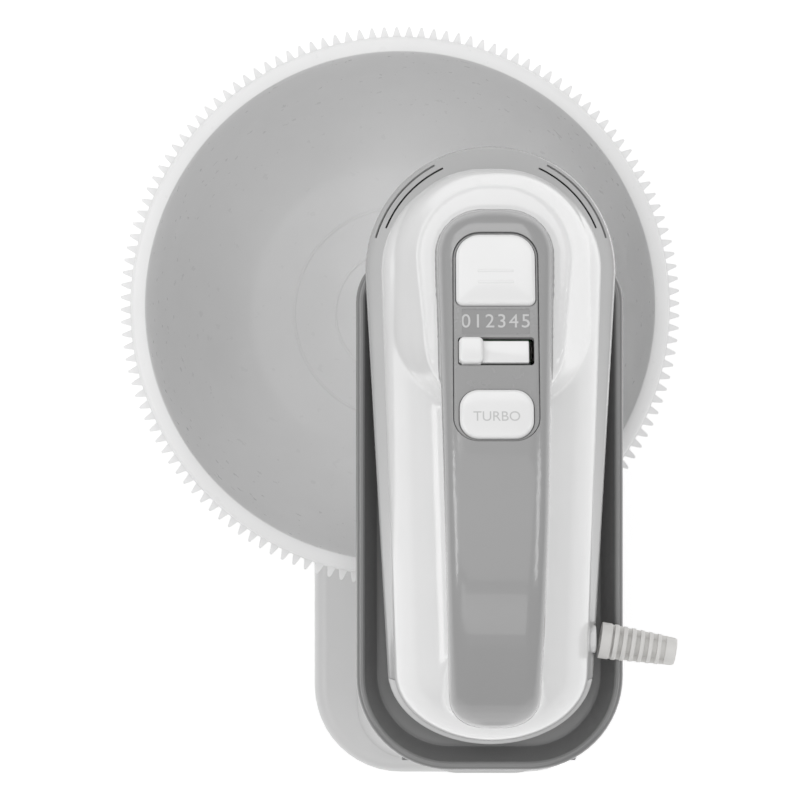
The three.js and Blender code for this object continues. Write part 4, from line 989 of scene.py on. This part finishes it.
class HM_OT_stand(bpy.types.Operator):
    """Makes the stand: base, feet, bottom cover, column and tilt release button"""

    bl_idname = "hand_mixer.stand"
    bl_label = "Stand"
    bl_options = {"REGISTER"}

    def execute(self, context):
        z0, z1 = low("stand_base").z, high("stand_base").z
        base = plate("base_fine", base_outline, z0, z1, round_top=6, round_bottom=0.6, steps=8)
        hollow = plate("tool", lambda inset: base_outline(3 + inset), z0 - 1, z1 - 3)
        bore = cylinder("tool", 8.3, (BOWL.x, BOWL.y, z0 - 5), (BOWL.x, BOWL.y, z1 + 5))
        boolean(base, [hollow])
        boss = cylinder("tool", 11, (BOWL.x, BOWL.y, z0 + 6), (BOWL.x, BOWL.y, z1 - 2))
        boolean(base, [boss], "UNION")
        boolean(base, [bore])
        piece(base, "stand", stand_grey(), "stand_grey", "stand_base")
        cover_low = low("base_cover").z
        cover = plate(
            "base_cover_fine", lambda i: base_outline(3.6 + i), cover_low, high("base_cover").z, 0, 0.4
        )
        piece(cover, "stand", cradle_grey(), "cradle_grey", "base_cover")
        names = ["foot_front_left", "foot_front_right", "foot_rear_left", "foot_rear_right"]
        feet = []
        for name in names:
            top = high(name).z
            profile = [(0, 0), (7.2, 0), (7.8, 0.2), (8.1, 0.8), (8.9, top - 0.2), (8.9, top), (0, top)]
            feet.append(lathe(name + "_pad", profile, (middle(name).x, middle(name).y, 0), 48))
        piece(joined("feet_fine", feet), "stand", frame_finish("rubber"), "rubber", *names)
        self.column()
        return {"FINISHED"}

    def column(self):
        foot = low("column").z
        barrel_r = 13
        half = (high("hinge_pin").x - low("hinge_pin").x) / 2 - 10
        x = MIXER.x
        y = HINGE.y
        rows = [
            (0, 54, 44, -24), (14, 42, 34, -22), (36, 33, 26, -20.5), (66, 28, 22, -19),
            (99, half, 22, -19)
        ]
        rings = []
        for i in range(34):
            up = 99 * i / 33
            half_x, front, rear = between(rows, up)
            rings.append([(x + px, y + py, foot + up) for px, py in section(half_x, front, rear, 0.34)])
        post = loft("column_fine", rings)
        turned = []
        for off, r in (
            (-half, barrel_r - 0.8), (-half + 0.8, barrel_r), (half - 0.8, barrel_r),
            (half, barrel_r - 0.8)
        ):
            ring = [(x + off, y + a, HINGE.z + b) for a, b in arc(0, 0, r, 0, 360, 72)[:-1]]
            turned.append(ring)
        barrel = outward(loft("tool", turned))
        web = box_tool((x - half + 0.4, y - 12, HINGE.z - 16), (x + half - 0.4, y + 12, HINGE.z))
        boolean(post, [barrel, web], "UNION")
        button_y, button_z = middle("tilt_release_button").y, middle("tilt_release_button").z
        seat = low("tilt_release_button").x + 24
        well = cylinder("tool", 8.3, (x - 80, button_y, button_z), (seat, button_y, button_z), "X")
        stem = cylinder(
            "tool", 3.4, (seat - 1, button_y, button_z), (seat + 16, button_y, button_z), "X", 32
        )
        pin = cylinder("tool", 4.2, (x - 80, y, HINGE.z), (x + 80, y, HINGE.z), "X", 48)
        boolean(post, [well, stem, pin])
        piece(post, "stand", stand_grey(), "stand_grey", "column")
        out = low("tilt_release_button").x
        cap = [
            (0, out), (0.01, out), (6.2, out), (7.3, out + 0.4), (8, out + 1.3), (8, out + 12),
            (3, out + 12)
        ]
        cap += [(3, high("tilt_release_button").x), (0, high("tilt_release_button").x)]
        turned = lathe("release_fine", [(r, z - out) for r, z in cap], (0, 0, 0), 64)
        seat_at = Matrix.Translation(Vector((out, button_y, button_z)) * MM)
        turned.data.transform(seat_at @ Matrix.Rotation(math.pi / 2, 4, "Y"))
        piece(turned, "release", cradle_grey(), "cradle_grey", "tilt_release_button")


class HM_OT_cradle(bpy.types.Operator):
    """Makes the cradle arm and the cover under it"""

    bl_idname = "hand_mixer.cradle"
    bl_label = "Cradle arm"
    bl_options = {"REGISTER"}

    def execute(self, context):
        floor = TRAY_FLOOR
        wall = 3
        tray = plate(
            "tray_fine", arm_outline, ARM_BOTTOM, ARM_TOP, round_top=2.4, round_bottom=1.0, steps=7
        )
        dish = []
        for inset, z in (
            (9.6, floor), (8.2, floor + 0.4), (7.4, floor + 1.4), (3.4, ARM_TOP - 0.5),
            (2.6, ARM_TOP + 0.1)
        ):
            dish.append([(x, y, z) for x, y in arm_outline(inset)])
        under = plate("tool", lambda i: arm_outline(wall + i), ARM_BOTTOM - 1, floor - wall)
        boolean(tray, [loft("tool", dish), under])
        pin_half = high("hinge_pin").x - MIXER.x
        cheeks = []
        for side in (-1, 1):
            ends = sorted((MIXER.x + side * (pin_half - 9), MIXER.x + side * (pin_half - 1)))
            outline = arc(HINGE.y, HINGE.z, 11, 180, 360, 40) + [
                (HINGE.y + 13, floor - 1), (HINGE.y - 9, floor - 1)
            ]
            rings = []
            for x, inset in ((ends[0], 0.7), (ends[0] + 0.7, 0), (ends[1] - 0.7, 0), (ends[1], 0.7)):
                shrink = 1 - inset / 12
                rings.append([
                    (x, HINGE.y + (y - HINGE.y) * shrink, HINGE.z + (z - HINGE.z) * shrink)
                    for y, z in outline
                ])
            cheeks.append(outward(loft("tool", rings)))
        boolean(tray, cheeks, "UNION")
        bed = loft("tool", lower_rings(grow=1.0) + [[(x, y, 60) for x, y in body_outline(0)]])
        on_mixer(bed)
        boolean(bed, [box_tool((-300, -300, -99), (300, 300, floor))])
        pin = cylinder(
            "tool", 4.2, (HINGE.x - 80, HINGE.y, HINGE.z), (HINGE.x + 80, HINGE.y, HINGE.z), "X", 48
        )
        boolean(tray, [bed, *self.openings(), pin])
        piece(tray, "cradle_arm", cradle_grey(), "cradle_grey", "cradle_tray")
        lo, hi = low("cradle_cover"), high("cradle_cover")
        shape = lambda i: rounded_rect(lo.x + i, hi.x - i, lo.y + i, hi.y - i, 3 - i, 16.7 - i)
        sheet = plate("cradle_cover_fine", shape, lo.z, hi.z, 0, 0.5)
        boolean(sheet, self.openings())
        piece(sheet, "cradle_arm", cradle_grey(), "cradle_grey", "cradle_cover")
        return {"FINISHED"}

    def openings(self):
        """Cuts through the arm for the two spindle sockets and for the pinion's shaft."""
        below = ARM_BOTTOM - 5
        drive = middle("bowl_pinion")
        sockets = plate("tool", self.socket_outline, below, ARM_TOP + 5)
        return [sockets, cylinder("tool", 6.3, (drive.x, drive.y, below), (drive.x, drive.y, ARM_TOP))]

    def socket_outline(self, inset):
        deep = SOCKET_R + SOCKET_ROOM - inset
        half = SPINDLE_X + deep
        r = deep - 0.05
        return rounded_rect(MIXER.x - half, MIXER.x + half, MIXER.y - deep, MIXER.y + deep, r, r, 16)


class HM_OT_pinion(bpy.types.Operator):
    """Makes the pinion that carries the motor's turning to the bowl's rim"""

    bl_idname = "hand_mixer.pinion"
    bl_label = "Bowl pinion"
    bl_options = {"REGISTER"}

    def execute(self, context):
        teeth = 16
        module = sizes().gear_module
        pitch = module * teeth / 2
        lo, hi = low("bowl_pinion"), high("bowl_pinion")
        centre = (middle("bowl_pinion").x, middle("bowl_pinion").y, 0)
        root = pitch - 1.4 * module
        half = tooth_half(module)
        flank = [
            (root - 1, half + 0.75), (root + 0.9, half + 0.7), (pitch - 0.5, half + 0.2), (pitch, half),
            (pitch + 0.8, half - 0.36), (pitch + 1.3, half - 0.62), (pitch + 1.55, half - 0.9),
        ]
        outline = both_flanks(flank)
        tight = [(min(r, pitch + 1.1), h * 0.94) for r, h in outline]
        rings = [
            (GEAR_LOW, tight), (GEAR_LOW + 0.4, outline), (GEAR_TOP - 0.4, outline), (GEAR_TOP, tight)
        ]
        tooth = loft("tooth", [[(r, h, z) for r, h in shape] for z, shape in rings])
        ring = repeated(tooth, teeth, nylon(), turn=2 * math.pi / teeth)
        phase = math.atan2(centre[1] - BOWL.y, centre[0]) + math.pi + math.pi / teeth
        ring.data.transform(Matrix.Translation(Vector(centre) * MM) @ Matrix.Rotation(phase, 4, "Z"))
        floor = TRAY_FLOOR
        profile = [
            (0, lo.z), (root, lo.z), (root, GEAR_TOP), (4.3, GEAR_TOP), (4, GEAR_TOP + 0.3),
            (4, floor + 1), (0, floor + 1)
        ]
        core = lathe("core", profile, centre, 64)
        flats = [math.pi / 3 * i for i in range(6)]
        dog = []
        for size, z in ((1, floor), (1, hi.z - 0.6), (0.85, hi.z)):
            dog.append([(3.6 * size * math.cos(a), 3.6 * size * math.sin(a), z) for a in flats])
        dog = shifted(loft("dog", dog), centre)
        piece(
            joined("pinion_fine", [core, ring, dog]), "pinion", nylon(), "nylon", "bowl_pinion",
            degrees=38
        )
        return {"FINISHED"}


class HM_OT_upper_housing(bpy.types.Operator):
    """Makes the mixer's white housing and the grey cover over its handle"""

    bl_idname = "hand_mixer.upper_housing"
    bl_label = "Upper housing and handle cover"
    bl_options = {"REGISTER"}

    def execute(self, context):
        wall = sizes().shell_wall
        neck = neck_skin()
        boolean(neck, [split_tool(1.2)])
        tail = loft("tail", lower_rings())
        boolean(tail, [box_tool((-99, TAIL_CAP_Y + 2, -9), (99, 99, 99))])
        body = joined("upper_fine", [upper_skin(), neck, handle_skin(), pillar_skin(), tail])
        remeshed(body, 1.1, 6)
        cover = link("handle_cover_fine", body.data.copy())
        below = box_tool((-99, TAIL_CAP_Y - GAP, -99), (99, 99, SHOULDER_Z + GAP))
        boolean(body, [split_tool(GAP), below])
        opened(body, self.is_open)
        thickened(body, wall)
        boolean(body, [cord_hole()])
        piece(on_mixer(body), "mixer", white(), "white_plastic", "upper_housing")
        boolean(cover, [split_tool(0)], "INTERSECT")
        opened(cover, lambda c, n: n.z < -0.5 and abs(c.z - split_height(c.y)) < 0.2)
        thickened(cover, wall)
        window = plate("tool", lambda i: panel_outline(GAP), -14, 14)
        window.data.transform(PANEL_FRAME)
        boolean(cover, [window])
        piece(on_mixer(cover), "mixer", handle_grey(), "handle_grey", "handle_cover")
        return {"FINISHED"}

    def is_open(self, c, n):
        """Whether a face of the white housing lies where another shell meets it."""
        on_split = n.z > 0.5 and abs(c.z - split_height(c.y, GAP)) < 0.06
        on_shoulder = n.z < -0.9 and abs(c.z - SHOULDER_Z - GAP) < 0.02
        on_tail = n.y > 0.9 and abs(c.y - TAIL_CAP_Y + GAP) < 0.02 and c.z < SHOULDER_Z + 1
        return on_split or on_shoulder or on_tail


class HM_OT_lower_housing(bpy.types.Operator):
    """Makes the mixer's grey lower housing, with its vents and spindle sockets"""

    bl_idname = "hand_mixer.lower_housing"
    bl_label = "Lower housing"
    bl_options = {"REGISTER"}

    def execute(self, context):
        wall = sizes().shell_wall
        outer = lower_rings()
        inner = lower_rings(wall)
        cup = loft("lower_fine", outer + list(reversed(inner)))
        boolean(cup, [box_tool((-99, -299, -99), (99, TAIL_CAP_Y, 99))])
        sockets = []
        for side in (-1, 1):
            centre = (side * SPINDLE_X, 0, 0)
            r = SOCKET_R
            profile = [(0, -11), (r - 0.8, -11), (r, -10.2), (r, 12), (0, 12)]
            sockets.append(lathe("tool", profile, centre, 64))
        boolean(cup, sockets, "UNION")
        bores = [
            cylinder("tool", 7, (side * SPINDLE_X, 0, -20), (side * SPINDLE_X, 0, 20)) for side in (-1, 1)
        ]
        output = middle("output_spindle") - MIXER
        bores.append(cylinder("tool", 7.6, (output.x, output.y, -5), (output.x, output.y, 6)))
        for i in range(1, 5):
            place = middle("housing_screw_%d" % i) - MIXER
            bores.append(cylinder("tool", 3.4, (place.x, place.y, -5), (place.x, place.y, 4), steps=32))
        bores.append(cord_hole())
        boolean(cup, bores + self.vents())
        piece(on_mixer(cup), "mixer", housing_grey(), "housing_grey", "lower_housing")
        return {"FINISHED"}

    def vents(self):
        slots = []
        for side in (-1, 1):
            for r, start, end in ((46.4, 16, 62), (43.8, 22, 65)):
                if side < 0:
                    start, end = 180 - end, 180 - start
                ring = arc(0, 0, r + 0.4, start, end, 40) + arc(0, 0, r - 0.4, end, start, 40)
                slots.append(loft("tool", [[(x, y, z) for x, y in ring] for z in (25, 39)]))
        return slots


class HM_OT_controls(bpy.types.Operator):
    """Makes the control panel with its numbers, the ejector, the speed slider and the turbo button"""

    bl_idname = "hand_mixer.controls"
    bl_label = "Controls"
    bl_options = {"REGISTER"}

    def execute(self, context):
        panel = plate("panel_fine", lambda i: panel_outline(-i), -PANEL_THICK, 0, round_top=0.5, steps=4)
        windows = [
            plate("tool", lambda i: ejector_outline(0.35), -9, 9),
            plate("tool", lambda i: slot_outline(), -9, 9),
            plate("tool", lambda i: turbo_outline(0.35), -9, 9),
        ]
        strip = (EJECTOR["rear"] - 1.2, SLOT["front"] + 1.1)
        recess = plate(
            "tool", lambda i: rounded_rect(-12.4, 12.4, strip[1], strip[0], 0.4, 0.4, 3), -0.3, 9
        )
        boolean(panel, windows + [recess])
        piece(on_panel(panel), "mixer", panel_grey(), "handle_grey", "control_panel")
        middle_v = (strip[0] + strip[1]) / 2
        rear, front = strip[1] + 0.1, strip[0] - 0.1
        shape = lambda i: rounded_rect(-12.3 + i, 12.3 - i, rear + i, front - i, 0.4, 0.4, 3)
        inlay = plate("number_strip", shape, -0.3, -0.2)
        dark = plastic("number_strip_grey", [c * 0.86 for c in colours().panel], 0.3)
        piece(on_panel(inlay), "mixer", dark, "handle_grey")
        digits = []
        height = sizes().letter_height
        for i in range(6):
            digit = lettering("digit_%d" % i, str(i), height, 0.14)
            digits.append(shifted(digit, (-11.0 + 22.0 * i / 5, middle_v, -0.2)))
        ink = plastic("number_ink", colours().number, 0.35)
        piece(on_panel(joined("speed_numbers", digits)), "mixer", ink, "white_plastic", degrees=40)
        self.ejector()
        self.slider()
        self.turbo()
        return {"FINISHED"}

    def ejector(self):
        bottom = -PANEL_THICK - 4.5
        rings = edge_rings(lambda i: ejector_outline(-i), bottom, 2.0, 1.5, 0.3, 8)
        rings.append([(x, y, 2.12) for x, y in ejector_outline(-4)])
        rings.append([(x, y, 2.18) for x, y in ejector_outline(-8)])
        cap = loft("ejector_fine", rings)
        bars = []
        for v in (20.2, 24.6):
            shape = lambda i, v=v: rounded_rect(
                -6.6 + i, 6.6 - i, v - 0.5 + i, v + 0.5 - i, 0.5 - i, 0.5 - i, 6
            )
            bars.append(plate("bar", shape, 1.9, 2.42, round_top=0.24, steps=4))
        stem = cylinder("stem", 3, (0, 26, -24), (0, 26, bottom + 0.5))
        piece(
            on_panel(joined("ejector_fine", [cap, stem] + bars)), "ejector", white(), "white_plastic",
            "ejector_button"
        )

    def slider(self):
        mid = (SLOT["front"] + SLOT["rear"]) / 2
        wide = (SLOT["front"] - SLOT["rear"]) / 2
        band = wide - 1.3
        start, end = -SLOT["half"] + 0.3, SLOT["half"] - 2.0
        shape = lambda i: rounded_rect(start + i, end - i, mid - band + i, mid + band - i, 0.4, 0.4, 3)
        track = plate("slider_track_fine", shape, -PANEL_THICK, -0.5, round_top=0.3, steps=3)
        piece(on_panel(track), "mixer", white(), "white_plastic", "slider_track")
        left = -SLOT["half"] + 0.4
        rear, front = mid - wide + 0.4, mid + wide - 0.4
        shape = lambda i: rounded_rect(left + i, left + 8.9 - i, rear + i, front - i, 2 - i, 2 - i, 8)
        crown = plate("knob", shape, -0.1, 2.4, round_top=1.2, steps=8)
        legs = []
        for side in (-1, 1):
            ends = sorted((mid + side * (band + 0.3), mid + side * (wide - 0.4)))
            legs.append(box_tool((left + 1, ends[0], -PANEL_THICK - 3), (left + 7.9, ends[1], 0.2)))
        piece(
            on_panel(joined("knob_fine", [crown] + legs)), "slider", white(), "white_plastic",
            "speed_slider"
        )

    def turbo(self):
        rings = edge_rings(lambda i: turbo_outline(-i), -PANEL_THICK - 3, 1.85, 1.5, 0.3, 8)
        rings.append([(x, y, 1.93) for x, y in turbo_outline(-4)])
        rings.append([(x, y, 1.96) for x, y in turbo_outline(-7)])
        piece(on_panel(loft("turbo_fine", rings)), "turbo", white(), "white_plastic", "turbo_button")
        word_y = (TURBO["front"] + TURBO["rear"]) / 2 - 1.4
        word = shifted(lettering("turbo_letters", "TURBO", 3.8, 0.12), (0, word_y, 1.88))
        ink = plastic("letter_ink", colours().ink, 0.4)
        piece(on_panel(word), "turbo", ink, "housing_grey", degrees=40)


class HM_OT_cord_outlet(bpy.types.Operator):
    """Makes the ribbed strain relief and its collar on the mixer's tail"""

    bl_idname = "hand_mixer.cord_outlet"
    bl_label = "Cord outlet"
    bl_options = {"REGISTER"}

    def execute(self, context):
        lo, hi = low("cord_collar"), high("cord_collar")
        r = (hi.z - lo.z) / 2
        centre = (lo + hi) / 2
        length = hi.x - lo.x
        profile = [
            (3.3, 0), (r, 0), (r, length - 0.5), (r - 0.5, length), (3.6, length), (3.3, length - 0.3)
        ]
        collar = lathe("cord_collar_fine", profile, steps=64)
        turn = Matrix.Rotation(math.pi / 2, 4, "Y")
        collar.data.transform(Matrix.Translation(Vector((lo.x, centre.y, centre.z)) * MM) @ turn)
        piece(collar, "mixer", white(), "white_plastic", "cord_collar")
        self.relief()
        return {"FINISHED"}

    def relief(self):
        ribs = sizes().relief_ribs
        length = 29.6
        r = 6.9
        pitch = (length - 9.2) / ribs
        rib_width = pitch * 0.52
        profile = [
            (3.4, 0), (r, 0), (r, rib_width - 0.35), (r - 0.35, rib_width), (3.4, rib_width),
        ]
        rib = lathe("rib", profile, steps=64)
        first = 5.0
        relief_white = plastic("relief_plastic", (0.62, 0.61, 0.59), 0.4, grain=0.05)
        stack = repeated(rib, ribs, relief_white, step=(0, 0, pitch), shrink=-0.24 * pitch / length)
        shifted(stack, (0, 0, first))
        flange = lathe(
            "flange", [(3.2, 0), (r + 0.1, 0), (r + 0.1, 3.7), (r - 0.3, 4.1), (3.2, 4.1)], steps=64
        )
        tip_r = r * 0.79
        tip = lathe("tip", [
            (3.2, length - 4.2), (tip_r, length - 4.2), (tip_r - 0.15, length - 0.5),
            (tip_r - 0.6, length), (3.2, length),
        ], steps=64)
        sleeve = lathe(
            "sleeve", [(3.1, 0.4), (4.1, 0.4), (3.9, length - 0.6), (3.1, length - 0.6)], steps=64
        )
        parts = [stack, flange, tip, sleeve]
        for side in (-1, 1):
            spine = [[(x, side * y, z) for x, y in ((-1.5, 3.4), (1.5, 3.4), (1.5, reach), (-1.5, reach))]
                     for z, reach in ((1, r - 0.2), (length - 1, tip_r - 0.1))]
            parts.append(outward(loft("spine", spine)))
        relief = joined("strain_relief_fine", parts)
        lo, hi = low("strain_relief"), high("strain_relief")
        droop = math.radians(9)
        flange_r = r + 0.1
        start = Vector((
            lo.x + flange_r * math.sin(droop),
            hi.y - flange_r * math.cos(droop) - 0.1,
            (lo.z + hi.z) / 2,
        ))
        axis = Matrix.Rotation(-droop, 4, "Z") @ Matrix.Rotation(math.pi / 2, 4, "Y")
        relief.data.transform(Matrix.Translation(start * MM) @ axis)
        piece(relief, "mixer", relief_white, "stand_grey", "strain_relief", degrees=36)


class HM_OT_beaters(bpy.types.Operator):
    """Makes the two beaters, each of four bent strips on a shaft"""

    bl_idname = "hand_mixer.beaters"
    bl_label = "Beaters"
    bl_options = {"REGISTER"}

    def execute(self, context):
        for side, phase in (("left", 0.0), ("right", math.pi / 4)):
            node = "beater_" + side
            lo, hi = low(node), high(node)
            centre = middle(node)
            key = [(2, 72), (10, 66), (21, 54), (24, 38), (21.5, 18), (14, 5), (0, 0.75)]
            half = self.curve([(r, lo.z + z) for r, z in key])
            line = half + [(-r, z) for r, z in reversed(half[:-1])]
            parts = []
            for quarter in (0, 1):
                parts.append(self.strip(line, phase + quarter * math.pi / 2, centre, 0.02 * quarter))
            bottom, top = lo.z + 62, hi.z
            profile = [
                (0, bottom), (2, bottom), (3, bottom + 1.2), (3, bottom + 4), (4.6, bottom + 4.4),
                (5.5, bottom + 5.6),
                (5.5, bottom + 12.8), (4.8, bottom + 13.8), (3, bottom + 14), (3, top - 1.4),
                (2.4, top - 0.4), (1.6, top),
                (0, top),
            ]
            parts.append(lathe("shaft", profile, (centre.x, MIXER.y, 0), 48))
            piece(joined(node + "_fine", parts), "beater_" + side[0], chrome(), "bright_steel", node)
        return {"FINISHED"}

    def curve(self, key):
        """Smooth points through the key ones."""
        made = []
        for i in range(len(key) - 1):
            a, b, c, d = key[max(0, i - 1)], key[i], key[i + 1], key[min(len(key) - 1, i + 2)]
            for k in range(10):
                t = k / 10
                made.append(tuple(
                    0.5 * (2 * b[n] + (c[n] - a[n]) * t + (2 * a[n] - 5 * b[n] + 4 * c[n] - d[n]) * t * t
                           + (3 * b[n] - a[n] - 3 * c[n] + d[n]) * t**3) for n in (0, 1)
                ))
        return made + [key[-1]]

    def strip(self, line, turn, centre, lift):
        thick, wide, edge = 1.3, 5.0, 0.35
        outline = rounded_rect(-thick / 2, thick / 2, -wide / 2, wide / 2, edge, edge, 3)
        rings = []
        for i, (r, z) in enumerate(line):
            before, after = line[max(0, i - 1)], line[min(len(line) - 1, i + 1)]
            out = Vector((after[1] - before[1], before[0] - after[0])).normalized()
            rings.append([
                (centre.x + (r + n * out.x) * math.cos(turn) - w * math.sin(turn),
                 MIXER.y + (r + n * out.x) * math.sin(turn) + w * math.cos(turn), z + lift + n * out.y)
                for n, w in outline
            ])
        return outward(loft("strip", rings))


class HM_OT_frame_finishes(bpy.types.Operator):
    """Gives every carried-over node of the frame its finish"""

    bl_idname = "hand_mixer.frame_finishes"
    bl_label = "Finishes of the inner parts"
    bl_options = {"REGISTER"}

    def execute(self, context):
        for part in frame["record"]["subparts"]:
            obj = frame["nodes"][part["node"]]
            obj.data.materials.clear()
            obj.data.materials.append(frame_finish(part["material_slot"]))
            obj.data.set_sharp_from_angle(angle=math.radians(28))
        return {"FINISHED"}


class HM_OT_stage(bpy.types.Operator):
    """Makes the pale floor, the soft lights and the camera"""

    bl_idname = "hand_mixer.stage"
    bl_label = "Stage"
    bl_options = {"REGISTER"}

    def execute(self, context):
        scene = context.scene
        far = FLOOR_HALF
        corners = [(-far, -far, 0), (far, -far, 0), (far, far, 0), (-far, far, 0)]
        floor = mesh_object("floor", corners, [(0, 1, 2, 3)])
        material, tree, shader, place = finish_nodes("floor_white")
        tree.links.new(
            shaded(tree, noise(tree, place, 3), (0.92, 0.92, 0.92), 0.004), shader.inputs["Base Color"]
        )
        shader.inputs["Roughness"].default_value = 0.6
        shader.inputs["Specular IOR Level"].default_value = 0.2
        shader.inputs["Emission Color"].default_value = (1, 1, 1, 1)
        shader.inputs["Emission Strength"].default_value = 0.6
        material.cycles.emission_sampling = "NONE"
        floor.data.materials.append(material)
        world = bpy.data.worlds.new("studio")
        world.use_nodes = True
        back = world.node_tree.nodes["Background"]
        back.inputs["Color"].default_value = (1, 1, 1, 1)
        back.inputs["Strength"].default_value = 0.5
        scene.world = world
        for name, place_at, wide, tall, power in (
            ("light_over", (-0.3, 0.1, 2.8), 3.0, 3.0, 24),
            ("light_left", (-1.1, 0.0, 1.5), 1.8, 0.25, 9),
            ("light_right", (1.1, 0.0, 1.5), 1.8, 0.25, 8),
            ("light_front", (-0.2, 1.3, 1.5), 1.2, 0.6, 7),
            ("light_rear", (-0.2, -1.3, 1.5), 1.2, 0.6, 3.5),
        ):
            lamp = bpy.data.lights.new(name, "AREA")
            lamp.shape = "RECTANGLE"
            lamp.size, lamp.size_y = wide, tall
            lamp.energy = power
            obj = bpy.data.objects.new(name, lamp)
            aim = Vector((0.02, 0, 0.15)) - Vector(place_at)
            turn = aim.to_track_quat("-Z", "Y").to_matrix().to_4x4()
            obj.matrix_world = Matrix.Translation(Vector(place_at)) @ turn
            scene.collection.objects.link(obj)
        camera = bpy.data.cameras.new("camera")
        camera.lens = CAMERA_LENS
        camera.sensor_width = 36
        camera.clip_end = 50
        eye = bpy.data.objects.new("camera", camera)
        eye.location = CAMERA_PLACE
        scene.collection.objects.link(eye)
        scene.camera = eye
        scene.view_settings.view_transform = "Standard"
        scene.view_settings.exposure = -0.5
        scene.view_settings.gamma = 1.4
        return {"FINISHED"}


class HM_PT_panel(bpy.types.Panel):
    """Lists the mixer's sizes, colours and pieces"""

    bl_idname = "HM_PT_panel"
    bl_label = "Hand Mixer"
    bl_space_type = "VIEW_3D"
    bl_region_type = "UI"
    bl_category = "Hand Mixer"

    def draw(self, context):
        layout = self.layout
        for group in (context.scene.hm_sizes, context.scene.hm_colours):
            box = layout.box()
            for name in group.__annotations__:
                box.prop(group, name)
        for operator in OPERATORS:
            layout.operator(operator.bl_idname)


OPERATORS = (
    HM_OT_frame_finishes, HM_OT_bowl, HM_OT_stand, HM_OT_cradle, HM_OT_pinion, HM_OT_upper_housing,
    HM_OT_lower_housing,
    HM_OT_controls, HM_OT_cord_outlet, HM_OT_beaters, HM_OT_stage,
)
CLASSES = (HM_Sizes, HM_Colours, *OPERATORS, HM_PT_panel)


def register():
    for cls in CLASSES:
        bpy.utils.register_class(cls)
    bpy.types.Scene.hm_sizes = PointerProperty(type=HM_Sizes)
    bpy.types.Scene.hm_colours = PointerProperty(type=HM_Colours)


def unregister():
    del bpy.types.Scene.hm_colours
    del bpy.types.Scene.hm_sizes
    for cls in reversed(CLASSES):
        bpy.utils.unregister_class(cls)


def main():
    register()
    for operator in OPERATORS:
        category, name = operator.bl_idname.split(".")
        result = getattr(getattr(bpy.ops, category), name)()
        if result != {"FINISHED"}:
            raise RuntimeError(operator.bl_label + " failed")


if __name__ == "__main__":
    main()
